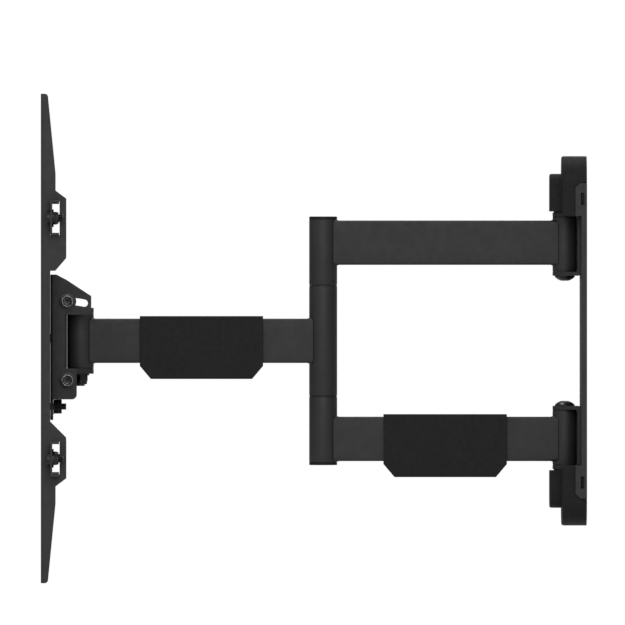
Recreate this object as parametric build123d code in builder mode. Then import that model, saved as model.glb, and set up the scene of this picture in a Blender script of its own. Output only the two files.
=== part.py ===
from build123d import *
import math
import os

# Full-motion wall mount for a flat screen. All sizes are in millimetres.
# The origin is on the wall surface, at the middle of the wall plate. +Z is up, +X is to the right of
# someone who faces the wall, and the arms reach out from the wall along -Y.

# Reach of the linkage, pivot to pivot
wall_pivot_reach = 19.3
rear_arm_length = 217.7
front_arm_length = 218.7
tilt_reach = 11.8
screen_reach = 23.8

# Clearances, and how far a cut runs past what it cuts
fit_gap = 0.02
running_gap = 0.1
turning_gap = 0.05
slot_gap = 0.25
sliding_gap = 0.4
shell_gap = 0.3
cut_margin = 5.0

# Arms and the tubes that they are welded to
arm_height = 40.0
arm_width = 20.0
arm_wall = 2.0
arm_corner = 2.5
rear_arm_level = 88.4
wall_knuckle_diameter = 22.0
swivel_knuckle_diameter = 24.0
column_diameter = 25.2
knuckle_wall = 2.5
hinge_level = 87.1
hinge_opening = 50.0
column_half_height = 112.0
front_tube_half_height = 49.5
flange_thickness = 0.9
bush_length = 15.0
elbow_shaft_diameter = 12.0
shaft_plug_length = 10.0
end_cap_thickness = 2.5
end_cap_spigot = 3.0
end_cap_wall = 2.0
shaft_chamfer = 1.0

# Clip-on cable covers
cover_length = 111.0
cover_wall = 2.0
cover_trough = 12.4
cover_lip = 3.5
cover_cut_along = 9.9
cover_cut_up = 11.7
cover_rounding = 2.0
front_cover_offset = 53.5
rear_cover_offset = 52.3

# Wall plate, a shallow pan with its rim against the wall
plate_half_height = 163.6
plate_half_width = 45.0
plate_thickness = 2.4
plate_depth = 5.1
plate_end_corner = 20.0
ear_depth = 10.4
ear_setback = 21.6
ear_chamfer = 4.5
clip_window_height = 10.8
clip_window_rim = 2.4
lag_hole_diameter = 9.0
lag_hole_setback = 23.6
anchor_hole_spread = 28.0
anchor_hole_setback = 35.6

# Plastic covers over the ends of the wall plate
shell_side_inset = 2.8
shell_overhang = 2.7
shell_height = 54.0
shell_depth = 22.1
shell_wall = 2.2
shell_corner = 23.0
bulge_half_width = 24.0
bulge_foot = 4.3
bulge_setback = 15.9
bulge_depth = 33.0
bulge_corner = 9.0
shell_rounding = 1.5
clip_tongue_rise = 15.3
clip_tongue_thickness = 1.6
clip_tongue_height = 8.0
clip_tongue_reach = 2.2

# Hinge brackets on the wall plate
hinge_base = 3.0
hinge_lug = 3.5
hinge_half_width = 22.0
bend_radius = 2.5

# Locking nuts, as shares of the nut's height or of its width across flats
nut_collar_share = 0.35
nut_collar_radius_share = 0.46

# Pivot bolts at the wall
wall_bolt_diameter = 10.0
wall_bolt_head_diameter = 18.0
wall_bolt_head_height = 4.2
wall_bolt_socket = 6.0
wall_nut_flats = 17.0
wall_nut_height = 10.0
wall_washer_diameter = 20.0
wall_washer_thickness = 1.6
thread_end = 1.5

# Swivel yoke and its bolt
yoke_web = 2.4
yoke_lug = 4.7
yoke_half_width = 22.0
barrel_diameter = 11.8
nut_bay_half_width = 9.5
swivel_bolt_diameter = 8.0
swivel_head_diameter = 16.0
swivel_head_height = 4.2
swivel_socket = 5.0
swivel_nut_flats = 13.0
swivel_nut_height = 8.0
swivel_washer_diameter = 16.0
swivel_washer_thickness = 1.5

# Tilt bracket and its bolts
tilt_bolt_level = 35.6
tilt_bolt_diameter = 6.0
tilt_head_diameter = 11.6
tilt_head_height = 4.5
tilt_head_socket = 5.0
tilt_washer_diameter = 14.2
tilt_washer_thickness = 1.2
tilt_nut_flats = 10.0
tilt_nut_height = 6.0
friction_washer_diameter = 16.0
friction_washer_thickness = 1.0
tilt_forward = 12.0
tilt_back = 3.0
tilt_margin = 0.4
bracket_half_width = 30.0
bracket_thickness = 2.6
bracket_top = 59.7
bracket_bottom = -52.7
bracket_flat = 5.4
bracket_shoulder_out = 14.4
bracket_shoulder_level = 55.0
bracket_edge_out = 36.8
bracket_edge_level = 40.3
bracket_lower_out = 23.8
window_out = 13.1
window_top = 23.4
window_bottom = -24.9
bracket_corner = 4.5
tab_half_width = 13.0
tab_bottom = -71.3

# Screen plate, the crossbars on it and the level adjustment
head_level = 2.3
screen_plate_recess = 5.9
screen_plate_thickness = 2.5
screen_plate_half_width = 62.0
screen_plate_corner = 8.0
small_hole_diameter = 5.0
small_pitches = (75.0, 100.0)
bar_spread = 108.1
bar_height = 31.0
bar_depth = 8.0
bar_thickness = 1.8
bar_half_length = 230.0
bar_bolt_spread = 42.0
bar_bolt_diameter = 6.0
bar_bolt_head_diameter = 14.0
bar_bolt_head_height = 2.6
bar_nut_flats = 10.0
bar_nut_height = 5.0
stop_spread = 222.0
stop_screw_diameter = 6.0
stop_head_diameter = 12.0
stop_head_height = 3.2
stop_socket = 4.0
stop_washer_diameter = 14.5
stop_washer_thickness = 1.3
stop_nut_flats = 10.0
stop_nut_height = 4.4
stop_thread_end = 4.3
level_bolt_diameter = 8.0
level_bolt_head_diameter = 16.0
level_bolt_head_height = 2.4
level_washer_diameter = 16.0
level_washer_thickness = 1.2
level_nut_flats = 13.0
level_nut_height = 5.0
level_bolt_end = 0.4
level_lock_level = -59.2
level_lock_diameter = 6.0
level_swing = 3.0
level_margin = 0.5
lock_washer_diameter = 14.0
lock_washer_thickness = 1.0
lock_knob_diameter = 13.0
lock_knob_length = 6.6
knob_flute_count = 8
knob_flute_radius = 1.3
lock_thread_end = 4.0

# Upright rails that the screen bolts to
rail_spread = 200.0
rail_half_width = 14.0
rail_thickness = 2.0
rail_half_height = 218.7
rail_tip_depth = 6.2
rail_tip_radius = 3.0
rail_mid_depth = 13.2
rail_full_depth = 22.8
rail_neck_depth = 8.3
rail_taper_end = 147.3
rail_step_outer = 132.2
rail_step_inner = 125.0
upper_bulge_inner = 72.6
upper_bulge_foot = 61.1
upper_foot_depth = 13.0
lower_bulge_inner = -90.3
lower_bulge_foot = -75.8
rail_hole_diameter = 8.6
rail_pitches = (100.0, 200.0, 300.0, 400.0)
rail_slot_levels = (-175.0, -125.0, 0.0, 125.0, 175.0)
rail_slot_length = 24.0

# Places and sizes that follow from the values above
column_bore = column_diameter - 2 * knuckle_wall
wall_pivot_y = -wall_pivot_reach
elbow_y = wall_pivot_y - rear_arm_length
swivel_y = elbow_y - front_arm_length
tilt_y = swivel_y - tilt_reach
screen_y = tilt_y - screen_reach
screen_plate_rear = screen_y + screen_plate_recess + screen_plate_thickness
bracket_front = screen_plate_rear + running_gap
bracket_rear = bracket_front + bracket_thickness
bar_web_rear = screen_plate_rear + bar_thickness
lug_outer = hinge_opening / 2 + hinge_lug
wall_lug_radius = wall_knuckle_diameter / 2
ear_top = plate_half_height - ear_setback
lag_hole_level = plate_half_height - lag_hole_setback
anchor_hole_level = plate_half_height - anchor_hole_setback
shell_half_width = plate_half_width - shell_side_inset
shell_top = plate_half_height + shell_overhang
shell_bottom = shell_top - shell_height
bulge_bottom = shell_bottom + bulge_foot
bulge_top = shell_top - bulge_setback
clip_level = shell_bottom + clip_tongue_rise
clip_window_inside = shell_half_width - shell_wall - shell_gap
plate_end_half_width = clip_window_inside - running_gap
clip_tongue_rear = clip_window_rim + shell_gap
yoke_outer = hinge_opening / 2 + yoke_lug
knuckle_length = hinge_opening - 2 * (flange_thickness + running_gap)
barrel_half_length = bracket_half_width - bracket_thickness - running_gap - friction_washer_thickness
tilt_slot_radius = 2 * tilt_bolt_level
level_slot_radius = head_level - level_lock_level
column_tube_foot = front_tube_half_height + flange_thickness + running_gap
column_tube_top = column_half_height - end_cap_thickness

os.makedirs("parts", exist_ok=True)


def write_piece(builder, name):
    """Labels the finished piece and writes its STEP file."""
    builder.part.label = name
    export_step(builder.part, f"parts/{name}.step")


def facing(x, y, z, direction):
    """Returns a place whose own +Z points along the given direction."""
    across = (1, 0, 0) if direction[0] == 0 else (0, 1, 0)
    return Plane(origin=(x, y, z), x_dir=across, z_dir=direction).location


to_wall = (0, 1, 0)
to_screen = (0, -1, 0)
to_right = (1, 0, 0)
to_left = (-1, 0, 0)
up = (0, 0, 1)
down = (0, 0, -1)


def flat_washer(diameter, bore, thickness):
    """Returns a washer that stands on z = 0."""
    with BuildPart() as washer:
        with BuildSketch():
            Circle(diameter / 2)
            Circle(bore / 2 + running_gap, mode=Mode.SUBTRACT)
        extrude(amount=thickness)
    return washer.part


def lock_nut(flats, height, bore):
    """Returns a hexagon nut with a round locking collar on top. It stands on z = 0."""
    collar = height * nut_collar_share
    corner_radius = flats / math.sqrt(3)
    corner_cut = corner_radius - flats / 2
    with BuildPart() as nut:
        with BuildSketch():
            RegularPolygon(flats / 2, 6, major_radius=False)
        extrude(amount=height - collar)
        with BuildSketch(Plane.XZ):
            Rectangle(corner_radius, height - collar, align=(Align.MIN, Align.MIN))
            chamfer(vertices().group_by(Axis.X)[-1], corner_cut)
        revolve(axis=Axis.Z, mode=Mode.INTERSECT)
        with BuildSketch(Plane.XY.offset(height - collar)):
            Circle(flats * nut_collar_radius_share)
        extrude(amount=collar)
        chamfer(edges().group_by(Axis.Z)[-1], collar / 3)
        with BuildSketch():
            Circle(bore / 2 + fit_gap)
        extrude(amount=height, mode=Mode.SUBTRACT)
    return nut.part


def dome_bolt(head_diameter, head_height, shank_diameter, shank_length, socket=0.0):
    """Returns a bolt with a domed head on z = 0. A socket of 0 leaves the dome plain."""
    head_radius = head_diameter / 2
    shank_radius = shank_diameter / 2
    rim = head_height * 0.2
    rise = head_height - rim
    dome_radius = (rise**2 + head_radius**2) / (2 * rise)
    half_angle = math.asin(head_radius / dome_radius) / 2
    middle = (dome_radius * math.sin(half_angle), head_height - dome_radius * (1 - math.cos(half_angle)))
    tip = shank_radius * 0.15
    with BuildPart() as bolt:
        with BuildSketch(Plane.XZ):
            with BuildLine():
                Polyline(
                    (0, head_height),
                    (0, -shank_length),
                    (shank_radius - tip, -shank_length),
                    (shank_radius, tip - shank_length),
                    (shank_radius, 0),
                    (head_radius, 0),
                    (head_radius, rim),
                )
                ThreePointArc((head_radius, rim), middle, (0, head_height))
            make_face()
        revolve(axis=Axis.Z)
        if socket > 0:
            with BuildSketch(Plane.XY.offset(head_height)):
                RegularPolygon(socket / 2, 6, major_radius=False)
            extrude(amount=-head_height * 0.6, mode=Mode.SUBTRACT)
    return bolt.part


def cap_bolt(head_diameter, head_height, shank_diameter, shank_length, socket):
    """Returns a socket bolt with a straight-sided head on z = 0 and its shank below."""
    with BuildPart() as bolt:
        with BuildSketch():
            Circle(head_diameter / 2)
        extrude(amount=head_height)
        chamfer(edges().group_by(Axis.Z)[-1], head_height * 0.15)
        with BuildSketch():
            Circle(shank_diameter / 2)
        extrude(amount=-shank_length)
        chamfer(edges().group_by(Axis.Z)[0], shank_diameter * 0.08)
        with BuildSketch(Plane.XY.offset(head_height)):
            RegularPolygon(socket / 2, 6, major_radius=False)
        extrude(amount=-head_height * 0.65, mode=Mode.SUBTRACT)
    return bolt.part


def countersunk_bolt(head_diameter, head_height, shank_diameter, shank_length, socket):
    """Returns a bolt whose cone head ends flush with z = 0. Its shank_length counts from z = 0."""
    tip = shank_diameter * 0.08
    with BuildPart() as bolt:
        with BuildSketch(Plane.XZ):
            with BuildLine():
                Polyline(
                    (0, 0),
                    (0, -shank_length),
                    (shank_diameter / 2 - tip, -shank_length),
                    (shank_diameter / 2, tip - shank_length),
                    (shank_diameter / 2, -head_height),
                    (head_diameter / 2, 0),
                    close=True,
                )
            make_face()
        revolve(axis=Axis.Z)
        with BuildSketch():
            RegularPolygon(socket / 2, 6, major_radius=False)
        extrude(amount=-head_height * 0.6, mode=Mode.SUBTRACT)
    return bolt.part


def flanged_bush(tube_diameter, bore, length):
    """Returns the bush of a pivot tube: a sleeve below z = 0 and a flange as wide as the tube on top."""
    with BuildPart() as bush:
        with BuildSketch():
            Circle(tube_diameter / 2 - knuckle_wall - fit_gap)
        extrude(amount=-length)
        with BuildSketch():
            Circle(tube_diameter / 2)
        extrude(amount=flange_thickness)
        with BuildSketch(Plane.XY.offset(-length)):
            Circle(bore / 2 + turning_gap)
        extrude(amount=length + flange_thickness, mode=Mode.SUBTRACT)
    return bush.part


def pivot_tube(y, low, high, diameter):
    """Returns the upright tube of a pivot, between two levels."""
    with BuildPart() as tube:
        with BuildSketch(Plane.XY.offset(low)):
            with Locations((0, y)):
                Circle(diameter / 2)
                Circle(diameter / 2 - knuckle_wall, mode=Mode.SUBTRACT)
        extrude(amount=high - low)
    return tube.part


def box_arm(y_rear, rear_diameter, y_front, front_diameter, level):
    """Returns an arm of box tube, with both ends cut to sit round the pivot tubes."""
    with BuildPart() as arm:
        with BuildSketch(Plane.XZ.offset(-y_rear)):
            with Locations((0, level)):
                RectangleRounded(arm_width, arm_height, arm_corner)
                RectangleRounded(
                    arm_width - 2 * arm_wall,
                    arm_height - 2 * arm_wall,
                    arm_corner - arm_wall,
                    mode=Mode.SUBTRACT,
                )
        extrude(amount=y_rear - y_front)
        with BuildSketch(Plane.XY.offset(level - arm_height / 2)):
            with Locations((0, y_rear)):
                Circle(rear_diameter / 2)
            with Locations((0, y_front)):
                Circle(front_diameter / 2)
        extrude(amount=arm_height, mode=Mode.SUBTRACT)
    return arm.part


def cable_cover(y_front, level):
    """Returns a cable cover: a trough that hangs under the arm, with lips that snap over its top."""
    half_inside = arm_width / 2 + shell_gap
    half_outside = half_inside + cover_wall
    roof = level + arm_height / 2 + shell_gap
    floor = level - arm_height / 2 - cover_trough
    top = roof + cover_wall
    bottom = floor - cover_wall
    y_rear = y_front + cover_length
    with BuildPart() as cover:
        with BuildSketch(Plane.YZ.offset(-half_outside)):
            with BuildLine():
                Polyline(
                    (y_front, top),
                    (y_rear, top),
                    (y_rear, bottom + cover_cut_up),
                    (y_rear - cover_cut_along, bottom),
                    (y_front + cover_cut_along, bottom),
                    (y_front, bottom + cover_cut_up),
                    close=True,
                )
            make_face()
        extrude(amount=2 * half_outside)
        fillet(edges().group_by(Axis.Z)[0].filter_by(Axis.Y), cover_rounding)
        fillet(edges().group_by(Axis.Z)[-1].filter_by(Axis.Y), cover_rounding / 2)
        with BuildSketch(Plane.XZ.offset(-y_rear)):
            with Locations((0, (roof + floor) / 2)):
                Rectangle(2 * half_inside, roof - floor)
            with Locations((0, roof)):
                Rectangle(2 * (half_inside - cover_lip), 2 * (cover_wall + cut_margin))
        extrude(amount=cover_length, mode=Mode.SUBTRACT)
    return cover.part


def lug_outline(half_width, y_base, y_pivot, radius):
    """Returns the plan of a lug: as wide as its base, and rounded about its pivot."""
    away = abs(y_base - y_pivot)
    sense = math.copysign(1, y_base - y_pivot)
    corner_bearing = math.atan2(away, half_width)
    touch_bearing = corner_bearing - math.acos(radius / math.hypot(half_width, away))
    touch = (radius * math.cos(touch_bearing), y_pivot + sense * radius * math.sin(touch_bearing))
    with BuildSketch() as outline:
        with BuildLine():
            Line((-half_width, y_base), (half_width, y_base))
            Line((half_width, y_base), touch)
            ThreePointArc(touch, (0, y_pivot - sense * radius), (-touch[0], touch[1]))
            Line((-touch[0], touch[1]), (-half_width, y_base))
        make_face()
    return outline.sketch


# ---------------------------------------------------------------------------------------------------
# Wall plate, its hinge brackets and its covers
# ---------------------------------------------------------------------------------------------------

with BuildPart() as wall_plate:
    with BuildSketch(Plane.XZ) as plate_outline:
        Rectangle(2 * plate_end_half_width, 2 * plate_half_height)
        fillet(vertices(), plate_end_corner)
        Rectangle(2 * plate_half_width, 2 * ear_top)
    extrude(amount=plate_depth)
    with BuildSketch(Plane.XZ):
        offset(plate_outline.sketch, amount=-plate_thickness, kind=Kind.INTERSECTION)
    extrude(amount=plate_depth - plate_thickness, mode=Mode.SUBTRACT)
    for edge_x in (-plate_half_width, plate_half_width - plate_thickness):
        for side in (-1, 1):
            with BuildSketch(Plane.YZ.offset(edge_x)):
                with BuildLine():
                    Polyline(
                        (-plate_thickness, side * shell_bottom),
                        (-ear_depth, side * shell_bottom),
                        (-ear_depth, side * (ear_top - ear_chamfer)),
                        (-ear_depth + ear_chamfer, side * ear_top),
                        (-plate_thickness, side * ear_top),
                        close=True,
                    )
                make_face()
            extrude(amount=plate_thickness)
    with BuildSketch(Plane.XZ.offset(clip_window_rim)):
        for side in (-1, 1):
            with Locations((0, side * clip_level)):
                Rectangle(2 * (plate_half_width + cut_margin), clip_window_height)
                Rectangle(2 * clip_window_inside, clip_window_height, mode=Mode.SUBTRACT)
    extrude(amount=plate_depth + shell_gap - clip_window_rim, mode=Mode.SUBTRACT)
    with BuildSketch(Plane.XZ):
        with Locations((0, lag_hole_level), (0, -lag_hole_level)):
            Circle(lag_hole_diameter / 2)
        with GridLocations(2 * anchor_hole_spread, 2 * anchor_hole_level, 2, 2):
            Circle(lag_hole_diameter / 2)
    extrude(amount=plate_depth, mode=Mode.SUBTRACT)
write_piece(wall_plate, "wall_plate")

with BuildPart() as upper_hinge_bracket:
    with BuildSketch(Plane.XZ.offset(plate_depth)):
        with Locations((0, hinge_level)):
            Rectangle(2 * hinge_half_width, 2 * lug_outer)
    extrude(amount=hinge_base)
    for lug_foot in (hinge_level - lug_outer, hinge_level + hinge_opening / 2):
        with BuildSketch(Plane.XY.offset(lug_foot)):
            add(lug_outline(hinge_half_width, -plate_depth - hinge_base, wall_pivot_y, wall_lug_radius))
        extrude(amount=hinge_lug)
    with BuildSketch(Plane.XY.offset(hinge_level - lug_outer)):
        with Locations((0, wall_pivot_y)):
            Circle(wall_bolt_diameter / 2 + turning_gap)
    extrude(amount=2 * lug_outer, mode=Mode.SUBTRACT)
    base_edges = edges().filter_by(Axis.X).filter_by_position(
        Axis.Y, -plate_depth - fit_gap, -plate_depth + fit_gap
    )
    fillet(base_edges, bend_radius)
write_piece(upper_hinge_bracket, "upper_hinge_bracket")

with BuildPart() as lower_hinge_bracket:
    mirror(upper_hinge_bracket.part, about=Plane.XY)
write_piece(lower_hinge_bracket, "lower_hinge_bracket")

with BuildPart() as upper_wall_cover:
    with BuildSketch(Plane.XZ):
        with Locations((0, shell_bottom)):
            Rectangle(2 * shell_half_width, shell_top - shell_bottom, align=(Align.CENTER, Align.MIN))
        fillet(vertices().group_by(Axis.Y)[-1], shell_corner)
    extrude(amount=shell_depth)
    fillet(faces().sort_by(Axis.Y)[0].edges().group_by(Axis.Z)[1:], shell_rounding)
    with BuildSketch(Plane.XZ.offset(shell_depth - shell_wall)):
        with Locations((0, bulge_bottom)):
            Rectangle(2 * bulge_half_width, bulge_top - bulge_bottom, align=(Align.CENTER, Align.MIN))
        fillet(vertices().group_by(Axis.Y)[-1], bulge_corner)
    extrude(amount=bulge_depth - shell_depth + shell_wall)
    fillet(faces().sort_by(Axis.Y)[0].edges().group_by(Axis.Z)[1:], shell_rounding)
    with BuildSketch(Plane.XZ):
        with Locations((0, shell_bottom)):
            Rectangle(
                2 * (shell_half_width - shell_wall),
                2 * (shell_top - shell_wall - shell_bottom),
            )
        fillet(vertices().group_by(Axis.Y)[-1], shell_corner - shell_wall)
    extrude(amount=shell_depth - shell_wall, mode=Mode.SUBTRACT)
    with BuildSketch(Plane.XZ):
        with Locations((0, shell_bottom)):
            Rectangle(
                2 * (bulge_half_width - shell_wall),
                2 * (bulge_top - shell_wall - shell_bottom),
            )
        fillet(vertices().group_by(Axis.Y)[-1], bulge_corner - shell_wall)
    extrude(amount=bulge_depth - shell_wall, mode=Mode.SUBTRACT)
    with BuildSketch(Plane.XZ):
        with Locations((0, shell_bottom)):
            Rectangle(
                2 * plate_half_width,
                ear_top + shell_gap - shell_bottom,
                align=(Align.CENTER, Align.MIN),
            )
    extrude(amount=plate_depth + shell_gap, mode=Mode.SUBTRACT)
    for side in (-1, 1):
        with BuildSketch(Plane.XZ.offset(clip_tongue_rear)):
            with Locations((side * (shell_half_width - shell_wall / 2), clip_level)):
                Rectangle(shell_wall, clip_tongue_height)
        extrude(amount=plate_depth + shell_wall - clip_tongue_rear)
        with BuildSketch(Plane.XZ.offset(clip_tongue_rear)):
            with Locations((side * (shell_half_width + clip_tongue_reach / 2), clip_level)):
                Rectangle(clip_tongue_reach, clip_tongue_height)
        extrude(amount=clip_tongue_thickness)
write_piece(upper_wall_cover, "upper_wall_cover")

with BuildPart() as lower_wall_cover:
    mirror(upper_wall_cover.part, about=Plane.XY)
write_piece(lower_wall_cover, "lower_wall_cover")

wall_bolt_length = 2 * lug_outer + wall_washer_thickness + wall_nut_height + thread_end
wall_bolt = dome_bolt(
    wall_bolt_head_diameter,
    wall_bolt_head_height,
    wall_bolt_diameter,
    wall_bolt_length,
    wall_bolt_socket,
)
bolt_head_level = hinge_level - lug_outer
bolt_nut_level = hinge_level + lug_outer

with BuildPart() as wall_pivot_bolts:
    with Locations(
        facing(0, wall_pivot_y, bolt_head_level, down),
        facing(0, wall_pivot_y, -bolt_head_level, up),
    ):
        add(wall_bolt)
write_piece(wall_pivot_bolts, "wall_pivot_bolts")

with BuildPart() as wall_pivot_washers:
    with Locations(
        facing(0, wall_pivot_y, bolt_nut_level, up),
        facing(0, wall_pivot_y, -bolt_nut_level, down),
    ):
        add(flat_washer(wall_washer_diameter, wall_bolt_diameter, wall_washer_thickness))
write_piece(wall_pivot_washers, "wall_pivot_washers")

with BuildPart() as wall_pivot_nuts:
    with Locations(
        facing(0, wall_pivot_y, bolt_nut_level + wall_washer_thickness, up),
        facing(0, wall_pivot_y, -bolt_nut_level - wall_washer_thickness, down),
    ):
        add(lock_nut(wall_nut_flats, wall_nut_height, wall_bolt_diameter))
write_piece(wall_pivot_nuts, "wall_pivot_nuts")

# ---------------------------------------------------------------------------------------------------
# Rear arms, tied together by the elbow column
# ---------------------------------------------------------------------------------------------------

with BuildPart() as upper_rear_arm:
    add(box_arm(wall_pivot_y, wall_knuckle_diameter, elbow_y, column_diameter, rear_arm_level))
write_piece(upper_rear_arm, "upper_rear_arm")

with BuildPart() as lower_rear_arm:
    mirror(upper_rear_arm.part, about=Plane.XY)
write_piece(lower_rear_arm, "lower_rear_arm")

with BuildPart() as upper_wall_knuckle:
    add(
        pivot_tube(
            wall_pivot_y,
            hinge_level - knuckle_length / 2,
            hinge_level + knuckle_length / 2,
            wall_knuckle_diameter,
        )
    )
write_piece(upper_wall_knuckle, "upper_wall_knuckle")

with BuildPart() as lower_wall_knuckle:
    mirror(upper_wall_knuckle.part, about=Plane.XY)
write_piece(lower_wall_knuckle, "lower_wall_knuckle")

with BuildPart() as wall_knuckle_bushes:
    with Locations(
        facing(0, wall_pivot_y, hinge_level + knuckle_length / 2, up),
        facing(0, wall_pivot_y, hinge_level - knuckle_length / 2, down),
        facing(0, wall_pivot_y, -hinge_level + knuckle_length / 2, up),
        facing(0, wall_pivot_y, -hinge_level - knuckle_length / 2, down),
    ):
        add(flanged_bush(wall_knuckle_diameter, wall_bolt_diameter, bush_length))
write_piece(wall_knuckle_bushes, "wall_knuckle_bushes")

with BuildPart() as upper_elbow_tube:
    add(pivot_tube(elbow_y, column_tube_foot, column_tube_top, column_diameter))
write_piece(upper_elbow_tube, "upper_elbow_tube")

with BuildPart() as lower_elbow_tube:
    mirror(upper_elbow_tube.part, about=Plane.XY)
write_piece(lower_elbow_tube, "lower_elbow_tube")

shaft_half_length = column_tube_top - end_cap_spigot - fit_gap

with BuildPart() as elbow_shaft:
    with BuildSketch(Plane.XY.offset(-shaft_half_length)):
        with Locations((0, elbow_y)):
            Circle(elbow_shaft_diameter / 2)
    extrude(amount=2 * shaft_half_length)
    chamfer(edges().filter_by(GeomType.CIRCLE), shaft_chamfer)
write_piece(elbow_shaft, "elbow_shaft")

with BuildPart() as elbow_shaft_plugs:
    for plug_foot in (column_tube_foot, shaft_half_length - shaft_chamfer - shaft_plug_length):
        with BuildSketch(Plane.XY.offset(plug_foot)):
            with Locations((0, elbow_y)):
                Circle(column_bore / 2 - fit_gap)
                Circle(elbow_shaft_diameter / 2 + fit_gap, mode=Mode.SUBTRACT)
        extrude(amount=shaft_plug_length)
    mirror(about=Plane.XY)
write_piece(elbow_shaft_plugs, "elbow_shaft_plugs")

with BuildPart() as elbow_end_caps:
    with BuildSketch(Plane.XY.offset(column_tube_top)):
        with Locations((0, elbow_y)):
            Circle(column_diameter / 2)
    extrude(amount=end_cap_thickness)
    fillet(edges().group_by(Axis.Z)[-1], end_cap_thickness / 3)
    with BuildSketch(Plane.XY.offset(column_tube_top)):
        with Locations((0, elbow_y)):
            Circle(column_bore / 2 - fit_gap)
            Circle(column_bore / 2 - end_cap_wall, mode=Mode.SUBTRACT)
    extrude(amount=-end_cap_spigot)
    mirror(about=Plane.XY)
write_piece(elbow_end_caps, "elbow_end_caps")

with BuildPart() as rear_cable_cover:
    add(cable_cover(wall_pivot_y - rear_cover_offset - cover_length, -rear_arm_level))
write_piece(rear_cable_cover, "rear_cable_cover")

# ---------------------------------------------------------------------------------------------------
# Front arm
# ---------------------------------------------------------------------------------------------------

with BuildPart() as front_arm:
    add(box_arm(elbow_y, column_diameter, swivel_y, swivel_knuckle_diameter, 0))
write_piece(front_arm, "front_arm")

with BuildPart() as front_elbow_tube:
    add(pivot_tube(elbow_y, -front_tube_half_height, front_tube_half_height, column_diameter))
write_piece(front_elbow_tube, "front_elbow_tube")

with BuildPart() as elbow_bushes:
    with Locations(
        facing(0, elbow_y, front_tube_half_height, up),
        facing(0, elbow_y, -front_tube_half_height, down),
    ):
        add(flanged_bush(column_diameter, elbow_shaft_diameter, bush_length))
write_piece(elbow_bushes, "elbow_bushes")

with BuildPart() as swivel_knuckle:
    add(pivot_tube(swivel_y, -knuckle_length / 2, knuckle_length / 2, swivel_knuckle_diameter))
write_piece(swivel_knuckle, "swivel_knuckle")

with BuildPart() as swivel_bushes:
    with Locations(
        facing(0, swivel_y, knuckle_length / 2, up),
        facing(0, swivel_y, -knuckle_length / 2, down),
    ):
        add(flanged_bush(swivel_knuckle_diameter, swivel_bolt_diameter, bush_length))
write_piece(swivel_bushes, "swivel_bushes")

with BuildPart() as front_cable_cover:
    add(cable_cover(swivel_y + front_cover_offset, 0))
write_piece(front_cable_cover, "front_cable_cover")

# ---------------------------------------------------------------------------------------------------
# Swivel yoke, with the barrels that the tilt bolts pass through
# ---------------------------------------------------------------------------------------------------

yoke_web_rear = swivel_y - swivel_knuckle_diameter / 2 - running_gap

with BuildPart() as swivel_yoke:
    with BuildSketch(Plane.XZ.offset(-yoke_web_rear)):
        Rectangle(2 * yoke_half_width, 2 * tilt_bolt_level)
    extrude(amount=yoke_web)
    for lug_foot in (-yoke_outer, hinge_opening / 2):
        with BuildSketch(Plane.XY.offset(lug_foot)):
            add(
                lug_outline(
                    yoke_half_width,
                    yoke_web_rear - yoke_web / 2,
                    swivel_y,
                    swivel_knuckle_diameter / 2,
                )
            )
        extrude(amount=yoke_lug)
    for side in (-1, 1):
        with BuildSketch(Plane.YZ.offset(side * nut_bay_half_width)):
            with Locations((tilt_y, -tilt_bolt_level), (tilt_y, tilt_bolt_level)):
                Circle(barrel_diameter / 2)
        extrude(amount=side * (barrel_half_length - nut_bay_half_width))
    for bolt_level in (-tilt_bolt_level, tilt_bolt_level):
        with BuildSketch(Plane.YZ.offset(-barrel_half_length)):
            with Locations((tilt_y, bolt_level)):
                Circle(tilt_bolt_diameter / 2 + fit_gap)
        extrude(amount=2 * barrel_half_length, mode=Mode.SUBTRACT)
    with Locations(facing(0, swivel_y, yoke_outer, up)):
        CounterSinkHole(
            radius=swivel_bolt_diameter / 2 + turning_gap,
            counter_sink_radius=swivel_head_diameter / 2 + turning_gap,
            counter_sink_angle=2 * math.degrees(
                math.atan((swivel_head_diameter - swivel_bolt_diameter) / 2 / swivel_head_height)
            ),
            depth=2 * yoke_outer,
        )
write_piece(swivel_yoke, "swivel_yoke")

with BuildPart() as swivel_bolt:
    with Locations(facing(0, swivel_y, yoke_outer, up)):
        add(
            countersunk_bolt(
                swivel_head_diameter,
                swivel_head_height,
                swivel_bolt_diameter,
                2 * yoke_outer + swivel_washer_thickness + swivel_nut_height + thread_end,
                swivel_socket,
            )
        )
write_piece(swivel_bolt, "swivel_bolt")

with BuildPart() as swivel_washer:
    with Locations(facing(0, swivel_y, -yoke_outer, down)):
        add(flat_washer(swivel_washer_diameter, swivel_bolt_diameter, swivel_washer_thickness))
write_piece(swivel_washer, "swivel_washer")

with BuildPart() as swivel_nut:
    with Locations(facing(0, swivel_y, -yoke_outer - swivel_washer_thickness, down)):
        add(lock_nut(swivel_nut_flats, swivel_nut_height, swivel_bolt_diameter))
write_piece(swivel_nut, "swivel_nut")

outer_washer_out = bracket_half_width + running_gap
tilt_head_out = outer_washer_out + tilt_washer_thickness
tilt_bolt_length = 2 * tilt_head_out + tilt_nut_height + thread_end
tilt_bolt = cap_bolt(
    tilt_head_diameter,
    tilt_head_height,
    tilt_bolt_diameter,
    tilt_bolt_length,
    tilt_head_socket,
)
tilt_bolt_levels = (-tilt_bolt_level, tilt_bolt_level)

with BuildPart() as tilt_bolts:
    with Locations(*[facing(tilt_head_out, tilt_y, level, to_right) for level in tilt_bolt_levels]):
        add(tilt_bolt)
write_piece(tilt_bolts, "tilt_bolts")

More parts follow.
